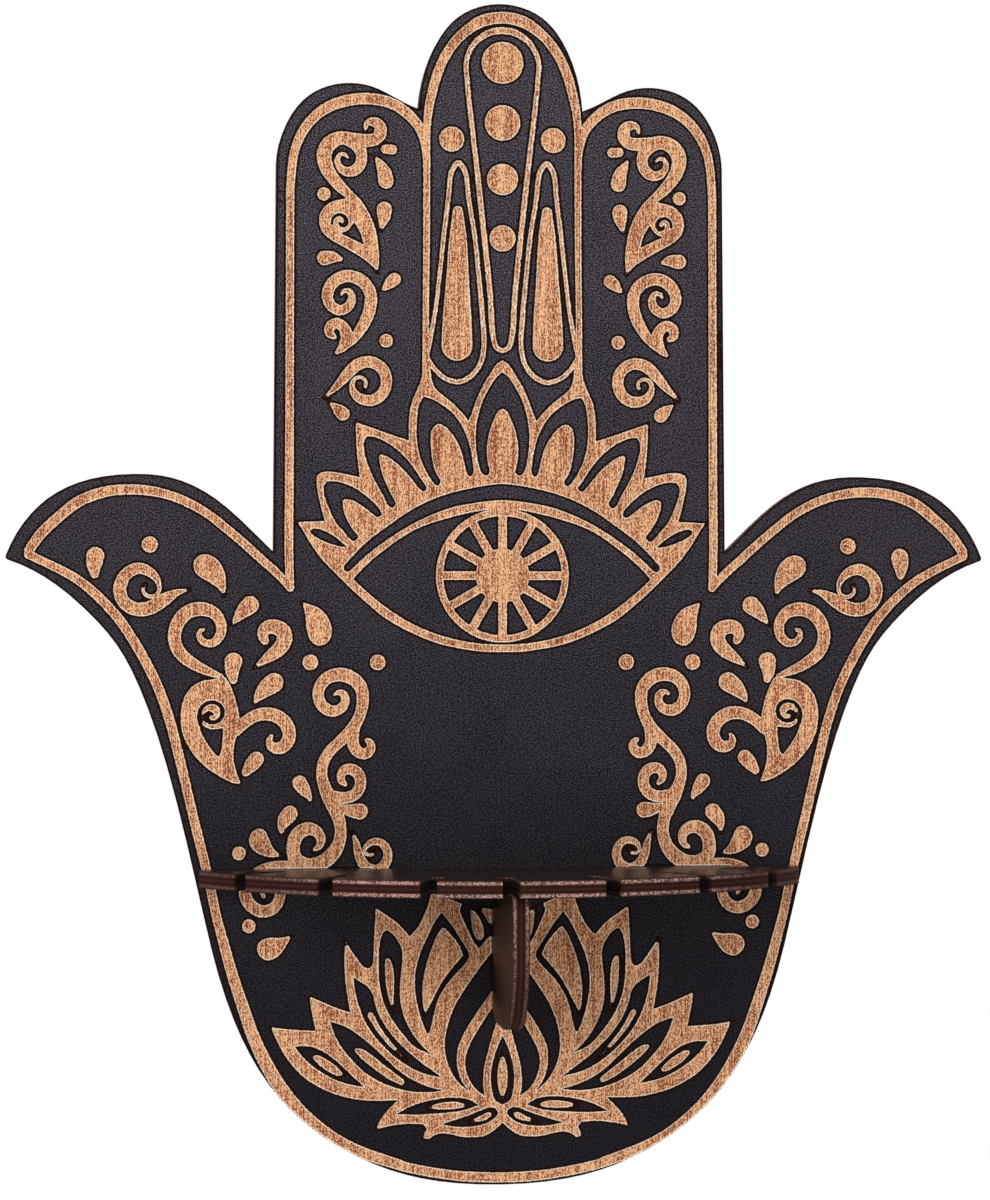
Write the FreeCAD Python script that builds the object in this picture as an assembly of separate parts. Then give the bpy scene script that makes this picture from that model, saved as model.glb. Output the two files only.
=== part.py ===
import FreeCAD, Part
import math
import os

# Wall shelf in the shape of a hamsa hand: three laser-cut plywood panels that
# plug together with tabs and slots, and a sawtooth hanger on the back.
# Millimetres. X is to the right of someone facing the hand, the front looks
# along -Y and Z is up. The origin lies on the wall, behind the middle of the
# hanger, on the hand's centre line.

# Sheet and fits, shared by the three panels
sheet_thickness = 4.3
slot_clearance = 0.1
overrun = 1.0

# Hand board
hand_width = 250.0
hand_height = 300.0
wing_tip_radius = 0.8

# Half-moon shelf, plugged into the board by two tabs
shelf_width = 152.8
shelf_depth = 48.0
shelf_end_depth = 3.0
shelf_top_above_base = 80.4
shelf_tab_width = 26.0
shelf_tab_spacing = 92.0

# Pendulum notches round the shelf's front edge
notch_width = 4.3
notch_length = 15.5
middle_notch_shift = -2.8
side_notch_shares = (0.246, 0.533, 0.820)  # of the angle from the arc's middle to its end

# Bracket under the middle of the shelf
bracket_depth = 44.0
bracket_height = 34.0
bracket_lower_radius = 20.0
bracket_upper_radius = 3.5
bracket_tab_height = 17.0

# Sawtooth hanger, pressed from one strip, and its two screws
hanger_length = 44.0
hanger_height = 9.0
hanger_sheet = 0.8
hanger_rise = 1.2
hanger_ear_length = 9.0
hanger_ramp_length = 2.0
hanger_centre_above_base = 246.0
tooth_count = 9
tooth_height = 1.6
screw_shank_radius = 1.0
screw_head_radius = 2.1
screw_head_height = 1.1
screw_rim_height = 0.3
screw_hole_clearance = 0.15
pilot_clearance = 0.03
screw_depth_in_board = 3.3
screw_point_length = 1.2
screw_point_radius = 0.2

# Outline of the right half of the hand, as shares of the half width
# measured from the centre line and of the height measured from the base.
middle_finger_shares = [
    (0.000, 1.000), (0.091, 0.987), (0.138, 0.960), (0.160, 0.933), (0.168, 0.910),
]
side_finger_shares = [
    (0.168, 0.910), (0.212, 0.9185), (0.260, 0.928), (0.308, 0.931),
    (0.387, 0.921), (0.438, 0.894), (0.456, 0.862),
]
crotch_shares = (0.4617, 0.535)
wing_top_shares = [
    crotch_shares, (0.528, 0.562), (0.600, 0.5855), (0.676, 0.598), (0.752, 0.600),
    (0.844, 0.594), (0.912, 0.580), (0.972, 0.553), (1.000, 0.529),
]
palm_shares = [
    (1.000, 0.529), (0.916, 0.5125), (0.8345, 0.4847), (0.777, 0.4573),
    (0.7255, 0.416), (0.680, 0.3613), (0.645, 0.3067), (0.6065, 0.2383),
    (0.575, 0.184), (0.529, 0.1297), (0.449, 0.0757), (0.334, 0.0353),
    (0.190, 0.0092), (0.000, 0.000),
]

# Places that follow from the sizes above
half_width = hand_width / 2
base_z = -hanger_centre_above_base
back_y = -hanger_rise - hanger_sheet
front_y = back_y - sheet_thickness
shelf_top_z = base_z + shelf_top_above_base
shelf_under_z = shelf_top_z - sheet_thickness
bracket_middle_z = shelf_under_z - bracket_height / 2
screw_spacing = hanger_length - hanger_ear_length
x_axis = FreeCAD.Vector(1, 0, 0)
y_axis = FreeCAD.Vector(0, 1, 0)
z_axis = FreeCAD.Vector(0, 0, 1)


def box(x_low, x_high, y_low, y_high, z_low, z_high):
    corner = FreeCAD.Vector(x_low, y_low, z_low)
    return Part.makeBox(x_high - x_low, y_high - y_low, z_high - z_low, corner)


def outline_point(share, side):
    """A point of the hand's outline on the back face, right (1) or left (-1)."""
    across, up = share
    return FreeCAD.Vector(side * across * half_width, back_y, base_z + up * hand_height)


def smooth_edge(points):
    curve = Part.BSplineCurve()
    curve.interpolate(points)
    return curve.toShape()


def hand_outline():
    """The closed outline: two curves over the centre line, three edges a side."""
    right_finger = [outline_point(share, 1) for share in middle_finger_shares]
    left_finger = [outline_point(share, -1) for share in middle_finger_shares[1:]]
    right_palm = [outline_point(share, 1) for share in palm_shares]
    left_palm = [outline_point(share, -1) for share in palm_shares[:-1]]
    edges = [smooth_edge(left_finger[::-1] + right_finger), smooth_edge(right_palm + left_palm[::-1])]
    for side in (1, -1):
        side_finger = [outline_point(share, side) for share in side_finger_shares]
        edges.append(smooth_edge(side_finger))
        edges.append(Part.makeLine(side_finger[-1], outline_point(crotch_shares, side)))
        edges.append(smooth_edge([outline_point(share, side) for share in wing_top_shares]))
    return Part.Wire(Part.__sortEdges__(edges))


def at_wing_tip(edge):
    """True for the two upright edges where the wings end in a point."""
    across = abs(edge.CenterOfMass.x)
    straight = abs(edge.Length - sheet_thickness) < overrun
    return straight and across > half_width - wing_tip_radius


def tab_places():
    """The middle of each shelf tab, left and right."""
    return [side * shelf_tab_spacing / 2 for side in (-1, 1)]


def shelf_tab(x_middle, grow, y_low, y_high):
    half = shelf_tab_width / 2 + grow
    return box(x_middle - half, x_middle + half, y_low, y_high, shelf_under_z - grow, shelf_top_z + grow)


def bracket_tab(grow, y_low, y_high):
    half_across = sheet_thickness / 2 + grow
    half_up = bracket_tab_height / 2 + grow
    low, high = bracket_middle_z - half_up, bracket_middle_z + half_up
    return box(-half_across, half_across, y_low, y_high, low, high)


def make_back_board():
    """The hand: slots for the three tabs, pilot holes for the hanger's screws."""
    face = Part.Face(hand_outline())
    board = face.extrude(y_axis * (front_y - back_y))
    tips = [edge for edge in board.Edges if at_wing_tip(edge)]
    board = board.makeFillet(wing_tip_radius, tips)
    slot_front, slot_back = front_y - overrun, back_y + overrun
    cuts = [shelf_tab(x, slot_clearance, slot_front, slot_back) for x in tab_places()]
    cuts.append(bracket_tab(slot_clearance, slot_front, slot_back))
    pilot_radius = screw_shank_radius + pilot_clearance
    pilot_depth = screw_depth_in_board + pilot_clearance
    for side in (-1, 1):
        bottom = FreeCAD.Vector(side * screw_spacing / 2, back_y - pilot_depth, 0)
        cuts.append(Part.makeCylinder(pilot_radius, pilot_depth + overrun, bottom, y_axis))
    return board.cut(cuts)


def shelf_arc_radius():
    """Radius of the curved front, from its width and how far it bulges."""
    half, bulge = shelf_width / 2, shelf_depth - shelf_end_depth
    return (half ** 2 + bulge ** 2) / (2 * bulge)


def half_moon():
    half = shelf_width / 2
    corner_y = front_y - shelf_end_depth
    left_back = FreeCAD.Vector(-half, front_y, shelf_under_z)
    left_corner = FreeCAD.Vector(-half, corner_y, shelf_under_z)
    nose = FreeCAD.Vector(0, front_y - shelf_depth, shelf_under_z)
    right_corner = FreeCAD.Vector(half, corner_y, shelf_under_z)
    right_back = FreeCAD.Vector(half, front_y, shelf_under_z)
    edges = [
        Part.makeLine(left_back, left_corner),
        Part.Arc(left_corner, nose, right_corner).toShape(),
        Part.makeLine(right_corner, right_back),
        Part.makeLine(right_back, left_back),
    ]
    return Part.Face(Part.Wire(edges)).extrude(z_axis * sheet_thickness)


def notch(angle_degrees, shift):
    """One round-ended notch, cut in from the front along the curve's radius."""
    radius = shelf_arc_radius()
    centre_y = front_y - shelf_depth + radius
    half = notch_width / 2
    end_y = centre_y - radius + notch_length - half
    low, high = shelf_under_z - overrun, shelf_top_z + overrun
    channel = box(shift - half, shift + half, end_y - notch_length - overrun, end_y, low, high)
    round_end = Part.makeCylinder(half, high - low, FreeCAD.Vector(shift, end_y, low))
    cutter = channel.fuse(round_end)
    cutter.rotate(FreeCAD.Vector(0, centre_y, 0), z_axis, angle_degrees)
    return cutter


def make_shelf():
    """The half-moon shelf, seven notches, and two tabs that begin where the board does.

    The half-moon's top stays a face of its own, apart from the tabs' tops,
    because it is what things stand on.
    """
    shelf = half_moon().fuse([shelf_tab(x, 0, front_y, back_y) for x in tab_places()])
    notches = [notch(0, middle_notch_shift)]
    arc_end_degrees = math.degrees(math.asin(shelf_width / 2 / shelf_arc_radius()))
    for share in side_notch_shares:
        angle = share * arc_end_degrees
        notches += [notch(angle, 0), notch(-angle, 0)]
    return shelf.cut(notches)


def arc_across(centre, radius, from_degrees, to_degrees):
    """An arc in the bracket's upright plane, angles turning from +Y to +Z."""
    points = []
    for degrees in (from_degrees, (from_degrees + to_degrees) / 2, to_degrees):
        angle = math.radians(degrees)
        points.append(centre + (y_axis * math.cos(angle) + z_axis * math.sin(angle)) * radius)
    return Part.Arc(*points).toShape()


def make_bracket():
    """The gusset: square at the wall, rounded in front, with one tab."""
    left_x = -sheet_thickness / 2
    nose_y = front_y - bracket_depth
    foot_z = shelf_under_z - bracket_height
    upper = FreeCAD.Vector(left_x, nose_y + bracket_upper_radius, shelf_under_z - bracket_upper_radius)
    lower = FreeCAD.Vector(left_x, nose_y + bracket_lower_radius, foot_z + bracket_lower_radius)
    top_back = FreeCAD.Vector(left_x, front_y, shelf_under_z)
    foot_back = FreeCAD.Vector(left_x, front_y, foot_z)
    upper_arc = arc_across(upper, bracket_upper_radius, 90, 180)
    lower_arc = arc_across(lower, bracket_lower_radius, 180, 270)
    edges = [
        Part.makeLine(top_back, upper + z_axis * bracket_upper_radius),
        upper_arc,
        Part.makeLine(upper - y_axis * bracket_upper_radius, lower - y_axis * bracket_lower_radius),
        lower_arc,
        Part.makeLine(lower - z_axis * bracket_lower_radius, foot_back),
        Part.makeLine(foot_back, top_back),
    ]
    plate = Part.Face(Part.Wire(edges)).extrude(x_axis * sheet_thickness)
    return plate.fuse(bracket_tab(0, front_y - overrun, back_y)).removeSplitter()


def hanger_strip():
    """The bent strip seen from above: flat ears, two ramps, a raised middle."""
    ear_end = hanger_length / 2 - hanger_ear_length
    middle_end = ear_end - hanger_ramp_length
    raised_y = back_y + hanger_rise
    inner = [(-hanger_length / 2, back_y), (-ear_end, back_y), (-middle_end, raised_y)]
    inner += [(-x, y) for x, y in inner[::-1]]
    outer = [(x, y + hanger_sheet) for x, y in inner[::-1]]
    corners = [FreeCAD.Vector(x, y, -hanger_height / 2) for x, y in inner + outer]
    return Part.Face(Part.makePolygon(corners + corners[:1])).extrude(z_axis * hanger_height)


def hanger_blank():
    """The strip's round-ended shape from the front, as a thick slab."""
    radius = hanger_height / 2
    reach = hanger_length / 2 - radius
    slab = box(-reach, reach, back_y, 0, -radius, radius)
    ends = [
        Part.makeCylinder(radius, -back_y, FreeCAD.Vector(side * reach, back_y, 0), y_axis)
        for side in (-1, 1)
    ]
    return slab.fuse(ends)


def teeth_cutter():
    """The zigzag that is cut out of the raised middle's lower edge."""
    span = hanger_length - 2 * (hanger_ear_length + hanger_ramp_length)
    pitch = span / tooth_count
    low_z = -hanger_height / 2
    corners = []
    for tooth in range(tooth_count):
        left = -span / 2 + tooth * pitch
        corners.append(FreeCAD.Vector(left, back_y, low_z))
        corners.append(FreeCAD.Vector(left + pitch / 2, back_y, low_z + tooth_height))
    corners.append(FreeCAD.Vector(span / 2, back_y, low_z))
    corners.append(FreeCAD.Vector(span / 2, back_y, low_z - overrun))
    corners.append(FreeCAD.Vector(-span / 2, back_y, low_z - overrun))
    zigzag = Part.Face(Part.makePolygon(corners + corners[:1]))
    return zigzag.extrude(y_axis * (overrun - back_y))


def make_hanger():
    """The sawtooth hanger, lying on the back of the board."""
    hanger = hanger_strip().common(hanger_blank())
    cuts = [teeth_cutter()]
    for side in (-1, 1):
        centre = FreeCAD.Vector(side * screw_spacing / 2, back_y - overrun, 0)
        hole_radius = screw_shank_radius + screw_hole_clearance
        cuts.append(Part.makeCylinder(hole_radius, hanger_sheet + 2 * overrun, centre, y_axis))
    return hanger.cut(cuts)


def make_screw(side):
    """A small round-head wood screw: pointed shank, and a head that is a low dome."""
    seat = FreeCAD.Vector(side * screw_spacing / 2, back_y + hanger_sheet, 0)
    tip = seat - y_axis * (hanger_sheet + screw_depth_in_board)
    neck = tip + y_axis * screw_point_length
    dome = screw_head_height - screw_rim_height
    dome_radius = (screw_head_radius ** 2 + dome ** 2) / (2 * dome)
    dome_centre = seat + y_axis * (screw_head_height - dome_radius)
    point = Part.makeCone(screw_point_radius, screw_shank_radius, screw_point_length, tip, y_axis)
    shank = Part.makeCylinder(screw_shank_radius, (seat - neck).Length, neck, y_axis)
    head = Part.makeCylinder(screw_head_radius, screw_head_height, seat, y_axis)
    head = head.common(Part.makeSphere(dome_radius, dome_centre))
    return shank.fuse([point, head]).removeSplitter()


def write(name, shape):
    """Save one piece, after making sure that it is one sound solid."""
    solids = shape.Solids
    if len(solids) != 1 or not solids[0].isValid():
        raise RuntimeError(name + " isn't one sound solid")
    print(name, "volume", round(solids[0].Volume, 1))
    solids[0].exportStep(os.path.join("parts", name + ".step"))


os.makedirs("parts", exist_ok=True)
write("back_board", make_back_board())
write("shelf", make_shelf())
write("bracket", make_bracket())
write("sawtooth_hanger", make_hanger())
write("hanger_screw_left", make_screw(-1))
write("hanger_screw_right", make_screw(1))
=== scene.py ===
import math

import bmesh
import bpy
import numpy as np
from bpy.props import FloatProperty, FloatVectorProperty, PointerProperty
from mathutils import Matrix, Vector
from mathutils.geometry import convex_hull_2d, delaunay_2d_cdt
from mathutils.kdtree import KDTree


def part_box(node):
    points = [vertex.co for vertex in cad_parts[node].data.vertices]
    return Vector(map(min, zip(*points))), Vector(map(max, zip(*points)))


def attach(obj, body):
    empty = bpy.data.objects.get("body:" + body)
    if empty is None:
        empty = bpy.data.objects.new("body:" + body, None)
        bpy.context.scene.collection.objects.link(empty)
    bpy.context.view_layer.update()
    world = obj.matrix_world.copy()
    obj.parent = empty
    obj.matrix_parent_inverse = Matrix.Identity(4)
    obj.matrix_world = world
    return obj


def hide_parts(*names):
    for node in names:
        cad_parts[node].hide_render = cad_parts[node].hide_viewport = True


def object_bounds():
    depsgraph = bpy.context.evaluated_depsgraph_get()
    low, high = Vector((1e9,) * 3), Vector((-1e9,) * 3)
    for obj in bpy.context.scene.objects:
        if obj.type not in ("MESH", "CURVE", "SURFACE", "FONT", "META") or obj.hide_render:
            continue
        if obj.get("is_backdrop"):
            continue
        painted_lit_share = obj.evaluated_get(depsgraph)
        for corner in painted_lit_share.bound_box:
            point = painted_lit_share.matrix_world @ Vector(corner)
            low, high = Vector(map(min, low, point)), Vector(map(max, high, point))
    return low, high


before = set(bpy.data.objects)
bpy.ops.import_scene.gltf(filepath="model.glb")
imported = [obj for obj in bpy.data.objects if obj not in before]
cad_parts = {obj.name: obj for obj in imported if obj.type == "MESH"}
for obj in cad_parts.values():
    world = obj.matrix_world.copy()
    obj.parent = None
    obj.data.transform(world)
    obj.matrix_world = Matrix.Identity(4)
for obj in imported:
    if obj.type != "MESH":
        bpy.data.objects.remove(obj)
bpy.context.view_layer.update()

bl_info = {
    "name": "Engraved hand shelf",
    "version": (1, 0, 0),
    "blender": (4, 5, 0),
    "location": "3D View > Sidebar > Hand Shelf",
    "description": "Dresses the CAD model of a hand-shaped plywood wall shelf",
    "category": "Object",
}

MM = 0.001
X, Y, Z = range(3)

# The engraving is drawn in millimetres, with its own middle line at x 0 and the board's base at z 0.
# That line lies this far to the right of the board's.
ENGRAVING_SHIFT = 0.51

# In millimetres: the step along curves, the longest side of a panel's outline, and the distance
# within which two points are one.
LINE_STEP = 0.55
LONGEST_SIDE = 1.6
JOIN_DISTANCE = 0.001

# The fewest sides that a dot has.
FEWEST_SIDES = 16

# On panels and screws, edges that turn by more than this are shaded sharp.
SHARP_ANGLE = math.radians(35)

# The most pairs of a point and a side that are tested at once.
PAIRS_AT_ONCE = 2000000

PAINT, WOOD, OUTSIDE = 0, 1, -1


def colour(code):
    """The linear colour for a written one such as E0AA75."""
    shares = [int(code[i:i + 2], 16) / 255 for i in (0, 2, 4)]
    return tuple(s / 12.92 if s <= 0.04045 else ((s + 0.055) / 1.055) ** 2.4 for s in shares)


def colour_setting(name, code, description):
    return FloatVectorProperty(
        name=name, description=description, default=colour(code), subtype="COLOR", size=3, min=0, max=1,
    )


def size_setting(name, millimetres, description):
    return FloatProperty(
        name=name, description=description, default=millimetres * MM, unit="LENGTH", min=0, precision=5,
    )


def power_setting(name, watts, description):
    return FloatProperty(name=name, description=description, default=watts, unit="POWER", min=0)


class EngravingSettings(bpy.types.PropertyGroup):
    depth: size_setting("Depth", 0.35, "How deep the laser has cut into the front veneer")
    rim_near: size_setting("Near rim", 0.5, "How far from an engraved edge its scorched line reaches")
    rim_far: size_setting("Far rim", 0.95, "Where wood and paint beside an engraved edge are even again")


class PlySettings(bpy.types.PropertyGroup):
    veneer: size_setting("Veneer", 1.3, "Thickness of each outer ply")
    glue: size_setting("Glue line", 0.14, "Thickness of the dark line between two plies")
    glue_groove: size_setting("Glue groove", 0.1, "How far the burnt glue line lies back from the edge")
    core_groove: size_setting("Core groove", 0.05, "How far the burnt core lies back from the edge")


class HardwareSettings(bpy.types.PropertyGroup):
    pilot_depth: size_setting("Pilot depth", 3.33, "Depth of the holes for the hanger's screws")
    hanger_bevel: size_setting("Hanger bevel", 0.12, "Softened edges of the stamped hanger")
    head_radius: size_setting("Head radius", 2.1, "Radius of a screw's head")
    head_height: size_setting("Head height", 1.1, "Height of a screw's head")
    cross_length: size_setting("Cross length", 2.5, "Length of each slot of the screw's cross")
    cross_width: size_setting("Cross width", 0.55, "Width of each slot of the screw's cross")
    cross_depth: size_setting("Cross depth", 0.6, "Depth of the screw's cross")
    shank_radius: size_setting("Shank radius", 1.0, "Radius over the screw's thread")
    thread_pitch: size_setting("Thread pitch", 0.8, "Distance between two turns of the thread")
    thread_depth: size_setting("Thread depth", 0.25, "Height of the thread")


class ColourSettings(bpy.types.PropertyGroup):
    paint: colour_setting("Paint", "0A090D", "Matte black paint on the board")
    # The lighter speckle, whose share towards the top also carries a painted sheen.
    paint_light: colour_setting("Paint speckle", "726B75", "Lighter grains in the paint")
    scorch: colour_setting("Scorch", "1C0B06", "Burnt line round the engraving")
    wood_light: colour_setting("Pale wood", "F1BB8D", "Engraved veneer where it is palest")
    wood_dark: colour_setting("Dark wood", "843F28", "Engraved veneer where the laser has browned it")
    wood_dash: colour_setting("Wood dashes", "6E3A20", "Short dark vessels in the engraved veneer")
    # A painted highlight along the engraved edges.
    wood_rim_highlight: colour_setting("Wood rim", "FBECD6", "Paler wood along the engraved edges")
    edge_veneer: colour_setting("Edge veneer", "3E221C", "Outer plies on a cut edge")
    # Pale fibres, brighter as a painted highlight where a cut edge faces the front.
    edge_fleck_highlight: colour_setting("Edge flecks", "BE978C", "Pale fibres of the outer plies on a cut edge")
    edge_core: colour_setting("Edge core", "290E0A", "Middle ply on a cut edge")
    edge_glue: colour_setting("Edge glue", "0E0707", "Glue lines on a cut edge")
    shelf_face: colour_setting("Shelf face", "241D1C", "Glossy dark faces of the shelf")
    # Darker than the shelf's faces, partly as painted shade under the shelf.
    bracket_face: colour_setting("Bracket face", "100908", "Smooth faces of the bracket")
    brass: colour_setting("Brass", "B8934F", "Brass plating of the hanger and its screws")
    backdrop: colour_setting("Backdrop", "FFFFFF", "Floor and surroundings as they are seen")


class StageSettings(bpy.types.PropertyGroup):
    key_power: power_setting("Key lamp", 7.1, "Power of the large lamp in front")
    fill_power: power_setting("Fill lamp", 3.8, "Power of the lamp on the right")
    top_power: power_setting("Top lamp", 1.2, "Power of the lamp above")
    world_strength: FloatProperty(
        name="World", description="Strength of the even light all round", default=0.42, min=0,
    )
    floor_drop: size_setting("Floor drop", 900, "How far the floor lies below the hanging hand")
    floor_size: size_setting("Floor size", 4000, "Side of the square floor")


class HandShelfSettings(bpy.types.PropertyGroup):
    engraving: PointerProperty(type=EngravingSettings)
    ply: PointerProperty(type=PlySettings)
    hardware: PointerProperty(type=HardwareSettings)
    colours: PointerProperty(type=ColourSettings)
    stage: PointerProperty(type=StageSettings)


def settings():
    return bpy.context.scene.hand_shelf


# Lines and shapes of the engraving


def smooth_line(points, step=LINE_STEP):
    """A smooth curve through the points; further columns, such as a width, go along."""
    points = np.array(points, float)
    if len(points) == 2:
        return points
    gaps = np.sqrt(np.linalg.norm(np.diff(points[:, :2], axis=0), axis=1))
    knots = np.vstack([2 * points[0] - points[1], points, 2 * points[-1] - points[-2]])
    spans = np.concatenate([gaps[:1], gaps, gaps[-1:]])
    line = []
    for i in range(1, len(knots) - 2):
        a, b, c, d = knots[i - 1:i + 3]
        s, t, u = spans[i - 1:i + 2]
        leave = t * ((b - a) / s - (c - a) / (s + t) + (c - b) / t)
        arrive = t * ((c - b) / t - (d - b) / (t + u) + (d - c) / u)
        count = max(1, math.ceil(np.linalg.norm((c - b)[:2]) / step))
        for share in np.arange(count) / count:
            squared, cubed = share ** 2, share ** 3
            line.append(
                b * (2 * cubed - 3 * squared + 1) + leave * (cubed - 2 * squared + share)
                + c * (3 * squared - 2 * cubed) + arrive * (cubed - squared)
            )
    line.append(points[-1])
    return np.array(line)


def half_round(centre, start, count):
    """The points strictly inside a clockwise half turn that begins at start."""
    turns = np.linspace(0, -math.pi, count + 1)[1:-1]
    arm = start - centre
    cos, sin = np.cos(turns), np.sin(turns)
    return centre + np.stack([arm[0] * cos - arm[1] * sin, arm[0] * sin + arm[1] * cos], 1)


def stroke(*knots):
    """A line of changing width with round ends. A knot is its place and the width there."""
    line = smooth_line(knots)
    centre, half = line[:, :2], np.maximum(line[:, 2:], JOIN_DISTANCE) / 2
    along = np.gradient(centre, axis=0)
    along /= np.linalg.norm(along, axis=1)[:, None]
    across = np.stack([-along[:, 1], along[:, 0]], 1) * half
    left, right = centre + across, centre - across
    caps = [
        half_round(centre[end], begun[end], max(2, round(math.pi * half[end, 0] / LINE_STEP)))
        for end, begun in ((-1, left), (0, right))
    ]
    return np.vstack([left, caps[0], right[::-1], caps[1]])


def circle(sides):
    """The corners of a round shape of radius 1."""
    turns = np.linspace(0, 2 * math.pi, sides, endpoint=False)
    return np.stack([np.cos(turns), np.sin(turns)], 1)


def dot(x, z, radius):
    sides = max(FEWEST_SIDES, round(math.pi * radius / LINE_STEP) * 2)
    return (x, z) + circle(sides) * radius


def outline(*runs):
    """A closed shape: each run is a smooth curve, and the runs meet in corners."""
    return np.vstack([smooth_line(run)[:-1] for run in runs])


def mirrored(shape):
    return shape[::-1] * (-1, 1)


def twin(*runs):
    """A closed shape on the middle line, whose right half starts and ends on that line."""
    half = np.vstack([outline(*runs), runs[-1][-1]])
    return np.vstack([half, mirrored(half)[1:-1]])


def across(*knots):
    """A stroke over the middle line, whose right half starts on that line."""
    return stroke(*[(-x, z, width) for x, z, width in knots[:0:-1]], *knots)


# The pattern's right half, in millimetres. Knots of strokes are (x, z, width), those of outlines
# (x, z). Shapes on the middle line are whole, and the others have a mirrored copy on the left.

BORDER = [
    across((0, 296.6, 3.1), (5.3, 295.6, 3.1), (9.6, 292.8, 2.7), (12.6, 289.7, 2.6),
           (14.9, 286.1, 2.6), (16.7, 281.9, 2.6), (17.95, 277.4, 2.5), (18.9, 272.9, 2.3),
           (19.3, 268.5, 2.0), (19.35, 262, 1.9), (19.35, 257, 1.9)),
    stroke((19.35, 258, 1.9), (19.4, 240, 1.8), (19.6, 220, 1.7), (19.6, 206, 1.9)),
    stroke((19.4, 258, 1.9), (19.5, 261, 1.9), (20.2, 265.5, 2.2), (21.5, 268.7, 2.6),
           (24.3, 271.8, 2.8), (27.8, 274.1, 2.9), (31.8, 275.2, 3.0), (36, 275.4, 3.0),
           (40.3, 274.7, 3.0), (44.3, 273.2, 2.9), (47.9, 270.6, 2.7), (50.6, 267.3, 2.6),
           (52.6, 263, 2.4), (53.5, 258.5, 2.3), (54, 252, 2.2)),
    stroke((54, 252, 2.2), (54.1, 222, 2.2), (54.2, 180, 2.3), (54.3, 160, 2.3), (54, 151.5, 2.2)),
    stroke((54, 151.6, 2.0), (57.8, 155.6, 2.2), (61, 158.4, 2.3), (65.5, 162.5, 2.3),
           (70, 166.3, 2.3), (75, 170.2, 2.3), (80, 173.0, 2.4), (85, 174.9, 2.4), (90, 175.9, 2.6),
           (96, 176.1, 2.7), (101, 175.4, 2.8), (107, 173.1, 2.9), (112, 169.2, 2.8),
           (116.5, 164.9, 2.8), (119.4, 160.9, 2.6)),
    stroke((119.6, 159.8, 2.4), (117, 158.5, 2.2), (112, 156.1, 2.3), (107, 153.2, 2.4),
           (102, 149, 2.5), (97, 143.5, 2.6), (94.1, 139.3, 2.6), (89.9, 132, 2.6),
           (86.6, 124.9, 2.6), (84.1, 117.4, 2.6), (82.2, 110, 2.6), (80.6, 103.4, 2.5),
           (78.2, 93.1, 2.5), (75.4, 81.7, 2.5), (73.8, 74.6, 2.5), (72.4, 68.1, 2.5),
           (70.5, 61, 2.7), (68.7, 54.5, 2.9), (65.6, 45, 3.1), (63.3, 38.4, 3.3),
           (60.2, 31.7, 3.5), (56.4, 25.3, 3.6), (51, 18.7, 3.6), (43, 12.2, 3.4), (36.6, 8.9, 3.2),
           (30, 6.6, 2.9), (26, 5.3, 2.7)),
    across((0, 1.75, 2.7), (10, 2.2, 2.7), (15, 2.85, 2.6), (20, 3.75, 2.6), (25, 4.9, 2.6),
           (30, 6.6, 2.7)),
]

MIDDLE_FINGER = [
    across((0, 293.3, 1.9), (3.6, 292.6, 1.8), (7.2, 289.9, 1.5), (9.2, 285.6, 1.4),
           (9.0, 280, 1.4), (8.2, 272, 1.4), (7.2, 263.5, 1.4), (6.0, 253, 1.5), (4.6, 240, 1.5),
           (3.1, 225, 1.5), (2.5, 216, 1.5), (1.6, 212.7, 1.4), (0.6, 212.0, 1.35)),
    across((0, 211.8, 1.3), (1.3, 212.4, 1.4)),
    stroke((19.5, 210.0, 1.3), (18.6, 214.0, 1.3), (17.3, 221, 1.2), (16.1, 231, 1.2),
           (15.0, 241, 1.3), (13.9, 250, 1.3), (13.0, 257.3, 1.4), (11.3, 259.5, 1.5),
           (9.6, 257.3, 1.4), (8.6, 250, 1.3), (7.0, 240, 1.3), (6.0, 230, 1.3), (5.1, 220, 1.4),
           (4.8, 212.5, 1.4), (6.0, 207.8, 1.4), (8.6, 204.9, 1.4), (11.5, 203.8, 1.4),
           (14.7, 204.7, 1.3), (17.0, 206.6, 1.3), (18.7, 208.9, 1.3), (19.7, 211.2, 1.3)),
    stroke((11.4, 247.2, 2.7), (11.4, 240, 4.6), (11.5, 230, 5.9), (11.6, 220, 7.4),
           (11.65, 213.1, 8.0)),
    dot(0, 285.1, 5.4),
    dot(0, 269.8, 4.6),
    dot(0, 255.4, 4.05),
    dot(0, 240.4, 3.4),
    dot(13.0, 265.5, 3.25),
]

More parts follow.
